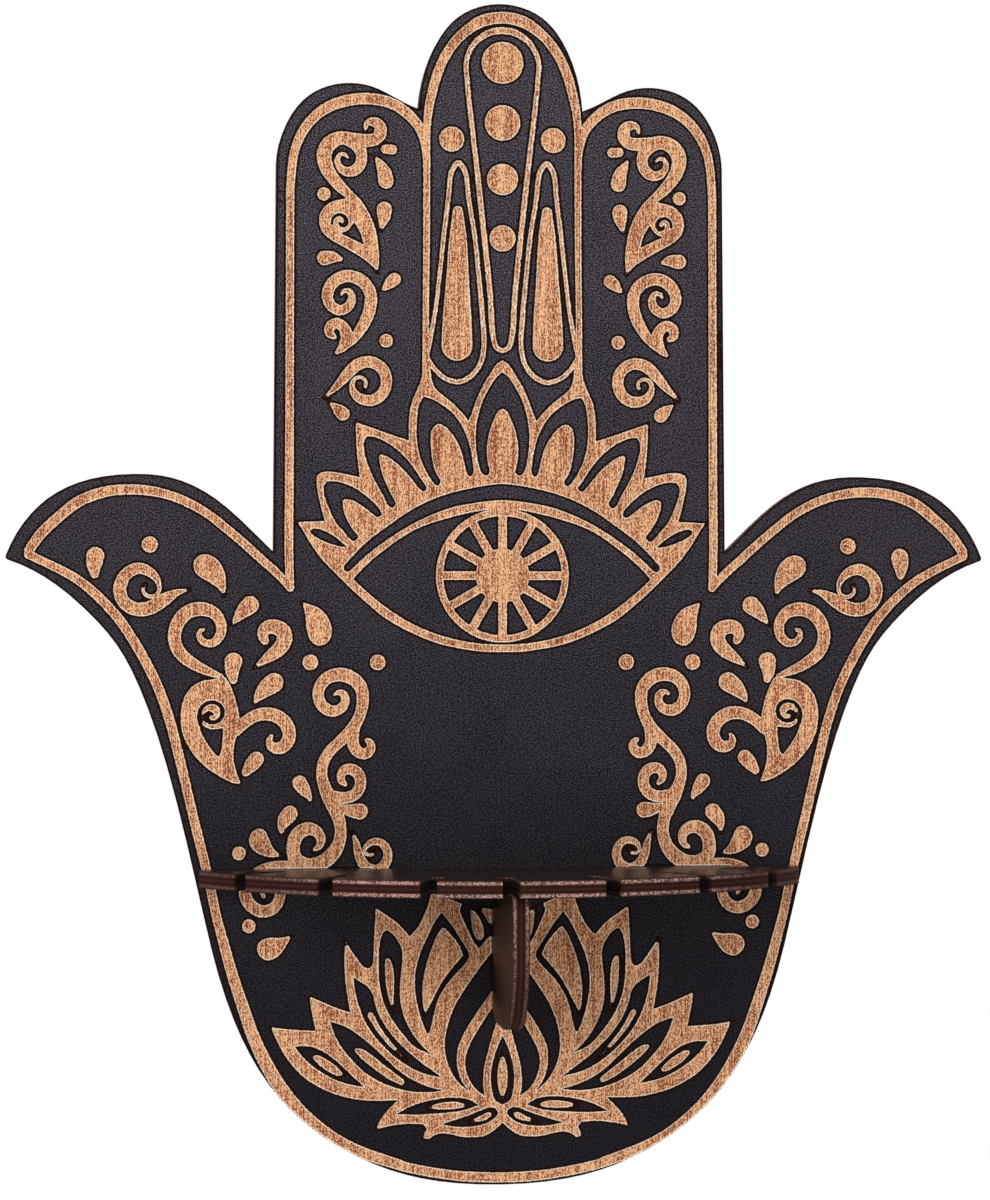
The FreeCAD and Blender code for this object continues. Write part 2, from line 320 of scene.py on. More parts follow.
FINGER_SCROLLS = [
    stroke((35.0, 267.8, 1.0), (34.6, 269.2, 1.6), (33.2, 269.6, 2.4), (31.6, 268.9, 3.0),
           (31.1, 267, 3.3), (32.2, 265.3, 3.2), (34.6, 264.8, 3.4), (37.8, 264.9, 3.7)),
    stroke((38.8, 250.8, 2.2), (41.2, 252.9, 2.9), (43.6, 255.7, 3.3), (45.1, 258.6, 3.7),
           (45.4, 261.5, 3.9), (43.9, 264.1, 3.9), (40.8, 265.4, 3.5), (37.6, 264.2, 3.7),
           (36.0, 261.6, 3.0), (36.2, 259.0, 2.9), (37.8, 257.1, 2.8), (40.0, 256.9, 2.4),
           (41.6, 258.1, 1.9), (42.1, 259.8, 1.6), (41.4, 261.1, 1.2), (40.3, 261.2, 1.0),
           (39.3, 260.4, 0.8)),
    outline(
        [(31.8, 231.2), (31.45, 234.5), (31.6, 238), (32.3, 242), (33.9, 246.2), (36.2, 249.8),
         (38.9, 252.4)],
        [(38.9, 252.4), (40.2, 249.95)],
        [(40.2, 249.95), (42.4, 249.6), (44.7, 248.5), (46.3, 246.6), (46.75, 244.2), (46.1, 241.8),
         (44.3, 239.9), (41.4, 238.2), (38, 236.3), (35, 234.4), (33, 232.7), (31.8, 231.2)],
    ),
    stroke((28.1, 262.6, 2.6), (29.9, 262.7, 2.5)),
    stroke((32.1, 260.3, 1.0), (31.2, 258.8, 2.4), (30.2, 256.8, 3.6), (29.75, 254.6, 4.0)),
    stroke((30.15, 247.4, 4.0), (30.3, 245.3, 3.3), (30.7, 243.4, 1.7), (31, 242.1, 0.5)),
    dot(45.5, 251.1, 1.75),
    stroke((41.3, 234.7, 1.3), (43, 235.1, 2.9), (45.4, 234.9, 3.8)),
    stroke((27.6, 229.7, 3.4), (28.9, 228.6, 2.9), (30.3, 227.2, 1.2)),
    stroke((41.5, 211.3, 1.0), (38.4, 214.0, 2.2), (35.4, 218.2, 3.0), (33.8, 222.3, 3.2),
           (33.7, 226, 3.2), (35.7, 229.1, 3.2), (39.6, 230.4, 3.2), (43.1, 228.8, 3.2),
           (44.6, 225.6, 3.0), (43.7, 222.9, 2.8), (41.3, 221.7, 2.7), (39.1, 222.9, 2.5),
           (38.4, 225, 2.1), (39.2, 226.6, 1.5), (40.5, 226.6, 1.2), (41.1, 225.6, 0.8)),
    stroke((42.9, 215.0, 1.5), (44.0, 215.8, 2.4), (44.0, 217.4, 2.7), (42.4, 218.5, 2.7),
           (40.5, 217.4, 2.9), (39.7, 215.0, 3.2), (40.6, 212.6, 2.6), (42.5, 210.7, 0.8)),
    dot(29.7, 214.1, 1.8),
    stroke((45.4, 199.4, 0.5), (42.2, 202.5, 2.0), (39.5, 205.6, 2.9), (36.9, 208.0, 3.1),
           (33.7, 208.7, 3.0), (30.6, 206.9, 3.0), (29.6, 203.6, 3.0), (30.9, 200.4, 3.0),
           (33.7, 198.9, 2.9), (36.8, 199.7, 2.5), (38.3, 201.9, 1.7), (38.0, 204.0, 1.2),
           (36.4, 204.8, 1.0), (35.0, 204.1, 1.0), (34.9, 202.7, 1.0), (35.15, 202.1, 0.8)),
    stroke((40.7, 195.5, 3.6), (41.9, 196.6, 3.0), (43.2, 197.7, 1.4), (44.2, 198.4, 0.3)),
]

FINGER_HOLES = [
    outline(
        [(37.85, 244.0), (36.6, 242), (35.9, 240.2), (35.5, 238.5)],
        [(35.5, 238.5), (38.2, 239.8), (41.1, 241.2)],
        [(41.1, 241.2), (39.6, 241.8), (38.6, 242.8), (37.85, 244.0)],
    ),
    stroke((43.5, 243.6, 0.5), (43.2, 245, 0.6), (42, 245.9, 0.7), (40.5, 245.6, 0.8),
           (39.8, 244.3, 1.0), (40.3, 243.3, 1.1), (41.2, 243.3, 0.8), (41.5, 243.9, 0.5)),
]

EYE_AND_CROWN = [
    twin(
        [(0, 209.4), (1.4, 208.6), (3.1, 206.1), (5, 203), (6.5, 199.8), (7.6, 196.8), (8.7, 194)],
        [(8.7, 194), (10.2, 195.9), (12.3, 198), (14.8, 200.1), (17, 202), (18, 204.2),
         (18.4, 208.4)],
        [(18.4, 208.4), (20.4, 208.4)],
        [(20.4, 208.4), (20.7, 205), (21.8, 201.9), (23.2, 198.6), (23.9, 194.5), (24, 188.9)],
        [(24, 188.9), (28, 190.2), (32, 191.6), (37.4, 193.5)],
        [(37.4, 193.5), (37.4, 190), (37.2, 186.3), (36.9, 183), (36.4, 179.5)],
        [(36.4, 179.5), (40, 180.3), (43.5, 180.9), (46, 180.7), (47.2, 179.8), (47.3, 177),
         (46.4, 172.5), (45.3, 168.4)],
        [(45.3, 168.4), (52.4, 168.1)],
        [(52.4, 168.1), (51, 166.2), (49.3, 163.3), (46.5, 159.3), (43.3, 155.8), (41, 153.5)],
        [(41, 153.5), (38, 150.6), (35, 147.9), (30, 143.8), (25, 140.9), (20, 138.6), (15, 136.9),
         (10, 135.9), (5, 135.2), (0, 135.1)],
    ),
]

EYE_HOLES = [
    across((0, 175.85, 4.0), (4, 175.5, 3.9), (8, 174.85, 3.7), (13, 173.75, 3.5),
           (18, 171.95, 3.4), (23, 169.5, 3.1), (28, 166.3, 2.7), (33, 162.7, 2.5),
           (36.5, 159.6, 2.2), (39.5, 156.5, 1.9)),
    twin(
        [(0, 171.4), (5, 171.1), (9.7, 170.2), (14.7, 168.9), (19.7, 167.3), (23, 165.8),
         (26.3, 163.8), (29.7, 161.3), (33, 158.7), (35.7, 156.2), (38, 153.7)],
        [(38, 153.7), (35, 150.9), (30, 146.8), (25, 143.5), (20, 141), (15, 139.2), (10, 138),
         (5, 137.3), (0, 137.1)],
    ),
    twin(
        [(0, 206.3), (1.6, 204.9), (3.5, 202), (5, 199), (6.1, 195.5), (6.75, 191.3), (6.7, 187.3),
         (6.2, 183.6), (5.4, 180.9), (4.4, 180.1), (3.4, 180.7), (3.9, 183.6), (4.05, 187.5),
         (3.5, 190.8), (2.4, 194), (1, 196.6), (0, 197.1)],
    ),
    outline(
        [(20.2, 199.9), (18.5, 199.5), (16, 198.2), (13, 196), (10.8, 193.2), (9.2, 190),
         (8.3, 187), (7.7, 183.5), (7.5, 180.8), (8.3, 179.8), (9.1, 180.8), (9.7, 183.2),
         (10.3, 185.7), (11.3, 188.1), (13, 190.8), (15, 192.7), (16.5, 193.1), (17.8, 192.2),
         (18.4, 190), (18.3, 186.5), (17.8, 183), (16.9, 180.3), (15.9, 178.5), (16.5, 177.4),
         (17.6, 178.2), (19.6, 181.3), (21, 184.7), (21.7, 188), (21.9, 191), (21.7, 195),
         (21.2, 198), (20.2, 199.9)],
    ),
    outline(
        [(34.5, 189.8), (32.7, 189.6), (29.8, 188.4), (27, 186.5), (24.5, 184.1), (22.4, 181.4),
         (20.6, 178.6), (19.4, 176.8), (20.2, 176), (21.3, 176.8), (23, 178.9), (25, 181.2),
         (27.5, 183.5), (30, 185), (31.4, 185.2), (31.3, 182.6), (30.6, 180), (29.6, 177.5),
         (28.4, 175), (27.3, 172.9), (28.1, 171.8), (29.3, 172.6), (30.2, 174.5), (31.9, 177.5),
         (33.3, 180.3), (34.4, 183), (35.2, 186), (35.2, 188.6), (34.5, 189.8)],
    ),
    outline(
        [(44.7, 178.3), (42.3, 178.3), (39, 177.3), (36, 175.6), (33.2, 173.3), (31.2, 171),
         (30.9, 170), (31.8, 169.4), (33.1, 170.2), (34.6, 171.4), (36.5, 172.7), (39, 173.9),
         (40.6, 173.7), (40.7, 171.8), (39.6, 168.6), (38.1, 166.1), (36.9, 164.4), (37.9, 163.3),
         (39.3, 164.4), (40.3, 165.6), (42.4, 168), (44.1, 171.5), (45.3, 175), (45.5, 177),
         (44.7, 178.3)],
    ),
    outline(
        [(39.7, 161.8), (42, 163.8), (45, 165.6), (48, 166.4), (48.9, 165.8), (48, 164.7),
         (44.5, 162.9), (41.5, 162.0), (39.7, 161.8)],
    ),
]

IRIS_CENTRE = (0, 154.6)
IRIS_RADIUS = 17.05
IRIS_INNER_RADIUS = 15.1
HUB_RADIUS = 6.9
SPOKE_COUNT = 12
SPOKE_WIDTH = 2.3


def iris_gap(number):
    """The paint left standing between two spokes of the iris."""
    inner, outer = HUB_RADIUS, IRIS_INNER_RADIUS
    half_turn = math.pi / SPOKE_COUNT
    middle = (2 * number + 1) * half_turn
    points = []
    for radius, side in ((inner, -1), (outer, -1), (outer, 1), (inner, 1)):
        points.append((radius, middle + side * (half_turn - math.asin(SPOKE_WIDTH / 2 / radius))))
    corners = []
    for (radius, turn), (next_radius, next_turn) in zip(points, points[1:] + points[:1]):
        steps = max(1, round(abs(next_turn - turn) * radius / LINE_STEP)) if next_radius == radius else 1
        for k in range(steps):
            here = turn + (next_turn - turn) * k / steps
            corners.append((radius * math.cos(here), radius * math.sin(here)))
    return np.array(corners) + IRIS_CENTRE


IRIS = [dot(*IRIS_CENTRE, IRIS_RADIUS)]
IRIS_GAPS = [iris_gap(number) for number in range(SPOKE_COUNT)]

WING = [
    dot(89.3, 162.3, 2.1),
    stroke((102.9, 159.4, 4.6), (103.2, 157, 3.9), (103.1, 154.8, 2.2)),
    outline(
        [(70.5, 149.2), (70.1, 152.5), (70.8, 156.2), (72.9, 159), (75.6, 159.95), (77.8, 158.9),
         (78.45, 156.8), (77.6, 154.9), (75.2, 153.2), (72.6, 151.6), (70.5, 149.2)],
    ),
    stroke((79.2, 151.0, 0.3), (82.5, 150.2, 1.9), (85.8, 148.4, 3.4), (89.5, 146.3, 3.6),
           (93, 146.1, 3.5), (95.9, 148.0, 3.3), (96.8, 151.3, 3.4), (95.4, 154.6, 3.2),
           (92.4, 156.3, 3.0), (89.3, 155.4, 2.5), (87.3, 153.2, 1.7), (86.9, 151, 1.1),
           (87.6, 149.6, 1.2), (89, 149.2, 1.2), (90.6, 149.9, 1.1), (91.0, 151.1, 0.9),
           (90.4, 152.2, 0.7)),
    stroke((71.2, 129.0, 1.3), (75.2, 130.6, 2.4), (78.9, 132.6, 3.0), (81.9, 135.3, 3.3),
           (83.1, 138.8, 3.4), (82.3, 142.5, 3.5), (79.9, 145.2, 3.6), (76.4, 146.1, 3.6),
           (73.1, 145, 3.1), (71.4, 142.2, 2.8), (71.7, 139.4, 2.6), (73.6, 137.5, 2.2),
           (75.6, 137.7, 1.9), (76.9, 139.2, 1.6), (76.6, 140.6, 1.2), (75.7, 140.9, 0.9)),
    stroke((68.3, 132.8, 4.6), (68.6, 130.3, 3.5), (68.3, 128.2, 2.1)),
    stroke((64.1, 147.1, 4.6), (65.9, 145.5, 3.7), (67.4, 143.7, 2.1), (68.7, 142.1, 0.3)),
    stroke((60.4, 138.1, 2.2), (60.9, 139.6, 2.9), (60, 141.3, 3.5), (57.9, 141.6, 3.8),
           (55.8, 140.4, 4.0), (55.5, 138, 4.0), (57, 135.8, 3.7), (59.5, 133.9, 2.8),
           (63.2, 131.2, 0.3)),
    stroke((58.1, 127.5, 5.0), (60, 126.1, 4.4), (61.8, 124.2, 2.8), (62.7, 122.8, 1.2)),
    outline(
        [(66.3, 101.8), (68.9, 102.4), (72.5, 104.3), (76.3, 107.2), (79.4, 111), (81.2, 115.2),
         (81.6, 119.4), (80.9, 123.3), (78.9, 126.4), (76.2, 128), (73.8, 128.4)],
        [(73.8, 128.4), (70.2, 128.9)],
        [(70.2, 128.9), (69, 126.8), (67.6, 123), (66.7, 118.9)],
        [(66.7, 118.9), (66.9, 116), (67.9, 112.5), (68.2, 109.2), (67.9, 106.5), (67.1, 104),
         (66.3, 101.8)],
    ),
    stroke((67.6, 115.5, 3.0), (64.6, 118.1, 3.1), (61.5, 119.5, 3.3), (58, 119.3, 3.5),
           (55.2, 117.3, 3.5), (54.2, 114.4, 3.5), (55.2, 111.8, 3.4), (57.2, 110.9, 3.0),
           (58.9, 111.7, 2.4), (59.2, 113.1, 1.7), (58.7, 114.1, 1.1)),
    stroke((62.5, 108.2, 3.9), (63.8, 106.7, 3.6), (65.2, 104.9, 2.2)),
    outline(
        [(51.0, 147.9), (50.2, 144.5), (49.9, 141), (48.8, 138), (46.7, 136.7), (44.3, 137.8),
         (43.4, 140.5), (44.3, 143.7), (46.4, 146.2), (48.8, 147.2), (51.0, 147.9)],
    ),
]

WING_HOLES = [
    outline(
        [(76.9, 117.6), (76.4, 115.2), (74.9, 112.4), (72.9, 109.6), (72.2, 109.0), (71.7, 109.5),
         (71.2, 112), (71.0, 114.3), (70.9, 116)],
        [(70.9, 116), (72.5, 115.8), (74.2, 115.8), (75.6, 116.5), (76.9, 117.6)],
    ),
    stroke((76.5, 116.9, 0.9), (76.9, 118.8, 1.0), (76.5, 120.8, 0.9), (75.2, 122.2, 0.8),
           (73.3, 122.6, 0.8), (71.6, 121.7, 0.9), (71.0, 120.2, 1.0), (71.4, 118.7, 1.0),
           (72.5, 117.7, 0.9), (74, 117.6, 1.0), (75.0, 118.3, 1.3), (75.0, 119.3, 1.4),
           (74.2, 119.8, 1.1), (73.5, 119.6, 0.6)),
]

PALM = [
    dot(31.8, 132.6, 2.05),
    dot(48.9, 132.6, 2.05),
    stroke((42.8, 124.5, 0.9), (41.7, 125.0, 1.5), (40.4, 124.4, 2.1), (40.1, 122.6, 2.3),
           (41.2, 120.9, 2.6), (43.5, 120.3, 3.0), (45.8, 121.6, 3.0), (46.9, 124.2, 3.0),
           (46.2, 127, 3.1), (44, 129, 3.3), (41, 129.5, 3.6), (38, 128.4, 3.5), (36, 126, 3.3),
           (35.6, 122.8, 3.2), (36.4, 119.2, 3.0), (38.2, 115.9, 3.2), (41.2, 112.8, 3.0),
           (43.9, 110.2, 2.9), (45.6, 107.3, 2.9), (46.0, 104.2, 2.9), (45.3, 101.2, 3.2),
           (44.2, 98.8, 3.8), (42.8, 96.0, 3.8), (41.6, 92.7, 3.2), (41.2, 89.5, 3.1),
           (41.9, 86.4, 3.4), (43.9, 83.5, 3.8), (47.0, 81.6, 3.9), (50, 81.4, 3.9),
           (52.6, 83, 3.7), (53.2, 86.3, 3.5), (52.1, 89.2, 3.6), (49.4, 90.6, 3.4),
           (46.9, 89.5, 2.9), (46.2, 87.4, 2.3), (46.9, 85.9, 1.7), (47.8, 85.4, 1.2)),
    stroke((34.5, 112.9, 1.4), (33.7, 112.2, 2.0), (33.6, 110.8, 2.6), (34.9, 109.5, 2.9),
           (36.7, 109.9, 3.0), (38, 111.8, 3.1), (38.1, 114.6, 3.2), (37.2, 117.6, 2.6)),
    stroke((40.1, 101.8, 1.3), (41.0, 102.7, 2.0), (41.1, 104.2, 2.3), (40, 105.5, 2.7),
           (38, 105.4, 3.0), (36.5, 103.9, 3.0), (36.2, 101.6, 3.0), (37.5, 99.3, 3.0),
           (40, 98.3, 3.1), (43, 98.4, 3.6)),
    stroke((36.4, 94.9, 4.2), (38.5, 95.1, 3.4), (41.5, 95.8, 1.6)),
    stroke((51.6, 102.2, 3.8), (50.4, 100.4, 3.2), (49.3, 98.8, 1.8), (48.8, 97.5, 0.6)),
    stroke((54.1, 94.4, 4.1), (55.4, 92.8, 3.7), (56.1, 91, 2.2), (56.2, 88.9, 0.3)),
    outline(
        [(55.9, 83.8), (57.9, 85.4), (59.3, 88.1), (60.3, 90.1), (61.7, 90.75), (63.6, 89.9),
         (64.4, 87.7), (63.6, 85.6), (61.2, 84), (58.5, 83.4), (55.9, 83.8)],
    ),
    dot(66.9, 84.5, 1.8),
    stroke((38.2, 89.8, 0.4), (37.3, 87, 1.7), (36.6, 84, 2.4), (35, 81, 2.8), (32.2, 79.9, 3.0),
           (29.8, 81.8, 2.6), (29.3, 84.6, 2.4), (30.7, 86.8, 2.1), (33, 87.2, 1.9),
           (34.8, 86.0, 1.4), (35.1, 84.6, 1.0), (34.2, 83.9, 0.9), (33.1, 84.0, 0.9),
           (32.6, 84.8, 0.8)),
    stroke((52.5, 81.2, 2.4), (57, 81.3, 2.6), (61, 80.3, 2.9), (64.2, 77.7, 3.0),
           (65.3, 74.4, 3.2), (64.0, 71.4, 3.2), (61, 69.8, 3.2), (58.2, 70.6, 3.1),
           (56.6, 73.2, 2.8), (56.7, 75.8, 2.6), (58.4, 77.5, 2.2), (60.5, 76.8, 1.7),
           (61.2, 75, 1.3), (60.6, 73.5, 1.1)),
    dot(64.4, 66.1, 1.8),
    outline(
        [(53.5, 63.8), (56.2, 63.2), (59.8, 63.1), (61.8, 62.1), (62.4, 60.3), (61.5, 58.4),
         (59.6, 57.4), (57, 58.4), (55, 60.9), (53.5, 63.8)],
    ),
]

LOTUS = [
    twin(
        [(0, 15.6), (1.9, 13.9), (4.4, 12.4), (7, 12), (10.5, 12.2), (13.5, 12.9), (15.8, 13.1),
         (17.6, 12.6), (19, 11.7), (20.1, 12.1), (19.9, 13.3), (19.4, 14.4), (20.3, 15.5)],
        [(20.3, 15.5), (24, 15.7), (28, 15.3), (32.3, 14.4)],
        [(32.3, 14.4), (31.2, 16.8), (29.3, 19.3), (26.8, 21.7)],
        [(26.8, 21.7), (30.5, 21.6), (34.5, 21.7), (38.5, 22.3), (42.5, 23.4), (46.5, 25.2),
         (50, 27.4), (53, 30.3), (55.6, 33.8), (57.4, 37.2), (58.9, 40.7)],
        [(58.9, 40.7), (55, 40.1), (51, 39.8), (47.6, 39.6)],
        [(47.6, 39.6), (48.3, 43), (48.8, 45.8), (49.1, 48.3)],
        [(49.1, 48.3), (45.5, 46.7), (42, 45.2), (38.8, 44.1)],
        [(38.8, 44.1), (39.4, 47.2), (39.9, 50.6), (40.2, 54), (40.3, 58.2), (40.1, 62.4)],
        [(40.1, 62.4), (38.6, 60), (36.8, 57.4), (35.5, 55.8), (34.3, 55.2), (33.4, 55.7),
         (33, 57.5), (32.8, 62), (32.6, 66), (32.3, 70.5)],
        [(32.3, 70.5), (29.8, 68.8), (27, 66.8), (25.2, 65), (23.7, 63.2)],
        [(23.7, 63.2), (21.9, 65.2), (20.3, 68), (19.1, 71), (18.2, 74.2)],
        [(18.2, 74.2), (14.5, 73), (10.1, 71.2)],
        [(10.1, 71.2), (10.9, 69.9), (10.1, 67.5), (8.7, 64.4), (7.4, 61.8), (6.1, 60.0)],
        [(6.1, 60.0), (3.2, 63.2), (0, 65.4)],
    ),
]

LOTUS_HOLES = [
    twin([(0, 37.6), (1.2, 35), (2.4, 31.2), (2.95, 27.5), (2.7, 24.2), (1.8, 21.4), (0, 20.3)]),
    twin(
        [(0, 45), (1.7, 41), (2.8, 37.3), (3.7, 34), (4.6, 30.5), (5.0, 27), (4.95, 24.5),
         (4.6, 22.6)],
        [(4.6, 22.6), (6.3, 23.8), (7.9, 25.8), (9.0, 28.2), (9.5, 31), (9.0, 33.8), (7.4, 37.3),
         (5.2, 40.9), (2.8, 44.5), (0, 48.4)],
    ),
    twin(
        [(0, 52.8), (3.2, 48.6), (6.5, 43.9), (9.6, 39.0), (11.3, 35.3), (11.75, 32), (11.4, 29),
         (10.4, 26.2), (8.8, 23.9)],
        [(8.8, 23.9), (11.5, 26.4), (13.4, 29.6), (14.5, 33.2), (14.6, 37), (13.8, 41),
         (12.2, 45.2), (9.6, 49.6), (6.5, 54.0), (3.2, 58.3), (0, 61.6)],
    ),
    outline(
        [(15.6, 69.1), (12.9, 65.6), (10.6, 62), (8.9, 59.3)],
        [(8.9, 59.3), (8.6, 57.9), (9.8, 55.9)],
        [(9.8, 55.9), (12, 53.6), (14.3, 50.9), (16.2, 47.8), (17.4, 44.3), (18.1, 41),
         (18.7, 38.7)],
        [(18.7, 38.7), (19.3, 38.6)],
        [(19.3, 38.6), (20.6, 42), (21.7, 46), (22.3, 50.2), (22.1, 54.3), (21.1, 58.4),
         (19.3, 62.6), (17.3, 66.6), (15.6, 69.1)],
    ),
    outline(
        [(18.4, 33.3), (20.6, 35.4), (22.8, 38.2), (24.7, 41.7), (25.9, 45.5), (26.25, 49.5),
         (26, 53.5), (25.6, 57), (25.7, 59.7), (26.8, 62.1), (28.3, 64), (29.7, 64.7), (30.6, 63.7),
         (31.3, 60.7), (31.5, 56.5), (31.4, 52.5), (30.9, 49), (29.6, 45), (27.5, 41.3), (25, 38),
         (22.3, 35.2), (18.4, 33.3)],
    ),
    outline(
        [(15.6, 27.4), (18.3, 29.3), (21.5, 31.7), (25, 34.8), (28.2, 38.2), (30.8, 42),
         (32.4, 45.6), (33, 48.4)],
        [(33, 48.4), (34.2, 50.3), (36, 51.6), (37.9, 52.8)],
        [(37.9, 52.8), (37.5, 49.6), (36.7, 46.3), (35.4, 42.8), (33.4, 39.2), (30.6, 35.8),
         (27.2, 32.6), (23.4, 30), (19.6, 28.3), (15.6, 27.4)],
    ),
    outline(
        [(15.4, 24), (19, 25), (22.8, 26.7), (26.2, 28.9), (29.5, 31.9), (32.6, 34.9), (35.8, 37.6),
         (39.5, 40.2), (43.8, 41.8)],
        [(43.8, 41.8), (42.6, 38.4), (40.6, 34.9), (38, 31.8), (35, 28.9), (31.5, 26.7), (27.5, 25),
         (23.5, 24), (19.3, 23.7), (15.4, 24)],
    ),
    outline(
        [(35.4, 25.3), (38.2, 27.9), (40.8, 30.4), (43.4, 32.7), (46.3, 34.6), (49.4, 35.6),
         (52.7, 35.6)],
        [(52.7, 35.6), (50.9, 33.2), (48.5, 30.9), (45, 28.5), (41.6, 26.8), (38.3, 25.8),
         (35.4, 25.3)],
    ),
    outline(
        [(6.3, 20.2), (8.2, 21.4), (10.8, 22), (14, 22.1), (18, 21.6), (22, 20.6), (24.6, 19.5),
         (26.8, 18.3)],
        [(26.8, 18.3), (23, 18.1), (18.5, 18.2), (14, 18.5), (10, 19.0), (6.3, 20.2)],
    ),
    outline(
        [(15.3, 15.5), (12, 16.5), (8.6, 17.6), (6, 18.6), (3.9, 19.4), (2.2, 19.4), (1.2, 18.2),
         (2.6, 16.5), (5.2, 15.3), (8.5, 14.8), (12, 14.9), (15.3, 15.5)],
    ),
]

LOTUS_HEARTS = [
    twin([(0, 33.2), (0.9, 31), (1.35, 27.6), (1.1, 24.5), (0, 21.5)]),
    outline(
        [(15.2, 65.7), (12.8, 63.2), (11, 60.7), (10.0, 58.3)],
        [(10.0, 58.3), (12, 55.9), (14.3, 53.1), (16.4, 49.7), (18.2, 46.2), (19.8, 43.1)],
        [(19.8, 43.1), (20.3, 45.6), (20.5, 48.5), (20.3, 52), (19.5, 56), (18.2, 60), (16.8, 63.3),
         (15.2, 65.7)],
    ),
    outline(
        [(29.3, 58.1), (28.3, 56.8), (27.7, 54), (27.6, 50.5), (27.7, 47), (27.5, 44.1)],
        [(27.5, 44.1), (28.4, 45.7), (29.3, 48.5), (29.8, 51.5), (29.95, 54.5), (29.9, 57.2),
         (29.3, 58.1)],
    ),
    outline(
        [(24.2, 31.6), (26.8, 33.6), (29.4, 36), (31.7, 38.8), (33.4, 41.4), (34.4, 43.3),
         (33.8, 44.2), (32.9, 43.6), (31.5, 41), (29.4, 37.8), (27, 34.9), (24.2, 31.6)],
    ),
    outline(
        [(24.8, 26.6), (27.6, 28.8), (30.5, 31), (33.5, 33.4), (36.3, 35), (37.8, 34.8), (36.6, 33),
         (34, 30.7), (31, 28.4), (28, 26.5), (25.4, 25.6), (24.8, 26.6)],
    ),
    outline(
        [(40.4, 28.5), (42.3, 30.6), (45, 32.5), (47.3, 33.5), (48.3, 33.1), (46.7, 30.9), (44, 29),
         (41.6, 28), (40.4, 28.5)],
    ),
    outline(
        [(8.9, 20.1), (11, 21), (13.5, 21.2), (16.5, 20.8), (19.5, 19.9)],
        [(19.5, 19.9), (17, 19.3), (13, 19.2), (10.6, 19.5), (8.9, 20.1)],
    ),
    outline(
        [(2.5, 17.8), (3.5, 18.4), (5.5, 17.6), (8.9, 15.9)],
        [(8.9, 15.9), (6.5, 15.9), (4, 16.5), (2.5, 17.8)],
    ),
    outline(
        [(8.35, 70.3), (6.8, 69), (5.6, 67.1), (4.8, 64.8), (4.9, 62.8), (5.7, 62), (6.8, 62.5),
         (7.6, 64), (8.1, 66.8), (8.35, 70.3)],
    ),
    twin(
        [(0, 67.6), (1.6, 66.9), (3.1, 65.6)],
        [(3.1, 65.6), (4.6, 68), (5.95, 70.3)],
        [(5.95, 70.3), (3, 69.9), (0, 69.6)],
    ),
]

LAYERS = [
    (WOOD, BORDER + MIDDLE_FINGER + FINGER_SCROLLS + EYE_AND_CROWN + WING + PALM + LOTUS),
    (PAINT, FINGER_HOLES + EYE_HOLES + WING_HOLES + LOTUS_HOLES),
    (WOOD, IRIS + LOTUS_HEARTS),
    (PAINT, IRIS_GAPS),
]


# Plane geometry


def winding(points, ring):
    """How many times the ring goes round each point."""
    turns = np.zeros(len(points), int)
    near = np.flatnonzero(((points >= ring.min(0)) & (points <= ring.max(0))).all(1))
    a, b = ring, np.roll(ring, -1, axis=0)
    for part in np.array_split(near, len(near) * len(ring) // PAIRS_AT_ONCE + 1):
        x, z = points[part, 0, None], points[part, 1, None]
        side = (b[:, 0] - a[:, 0]) * (z - a[:, 1]) - (x - a[:, 0]) * (b[:, 1] - a[:, 1])
        rising = (a[:, 1] <= z) & (b[:, 1] > z) & (side > 0)
        falling = (a[:, 1] > z) & (b[:, 1] <= z) & (side < 0)
        turns[part] = rising.sum(1) - falling.sum(1)
    return turns


def ring_edges(rings):
    """All rings' points in one array, and the pairs of numbers that join them."""
    edges, start = [], 0
    for ring in rings:
        count = len(ring)
        edges += [(start + i, start + (i + 1) % count) for i in range(count)]
        start += count
    return np.vstack(rings), edges


def triangulate(points, edges):
    """Corners and triangles with the edges kept, and for each corner the numbers of its points."""
    places = [Vector(point) for point in points.tolist()]
    corners, _, faces, sources, _, _ = delaunay_2d_cdt(places, edges, [], 0, JOIN_DISTANCE)
    return np.array([tuple(c) for c in corners]), np.array(faces), sources


def kinds_of(points, faces, loops, layers):
    """For each triangle, whether it is outside the loops, paint or engraved wood."""
    centres = points[faces].mean(1)
    inside = sum(winding(centres, loop) for loop in loops) > 0
    kinds = np.where(inside, PAINT, OUTSIDE)
    for kind, shapes in layers:
        for shape in shapes:
            kinds[inside & (winding(centres, shape) != 0)] = kind
    return kinds


def borders(faces, kinds):
    """The triangles' sides between two kinds, as (start, end, kind on the left, kind on the right)."""
    kind_left = {}
    for face, kind in zip(faces.tolist(), kinds.tolist()):
        for i in range(3):
            kind_left[face[i], face[(i + 1) % 3]] = kind
    found = []
    for (a, b), kind in kind_left.items():
        other = kind_left.get((b, a), OUTSIDE)
        if kind > other:
            found.append((a, b, kind, other))
    return found


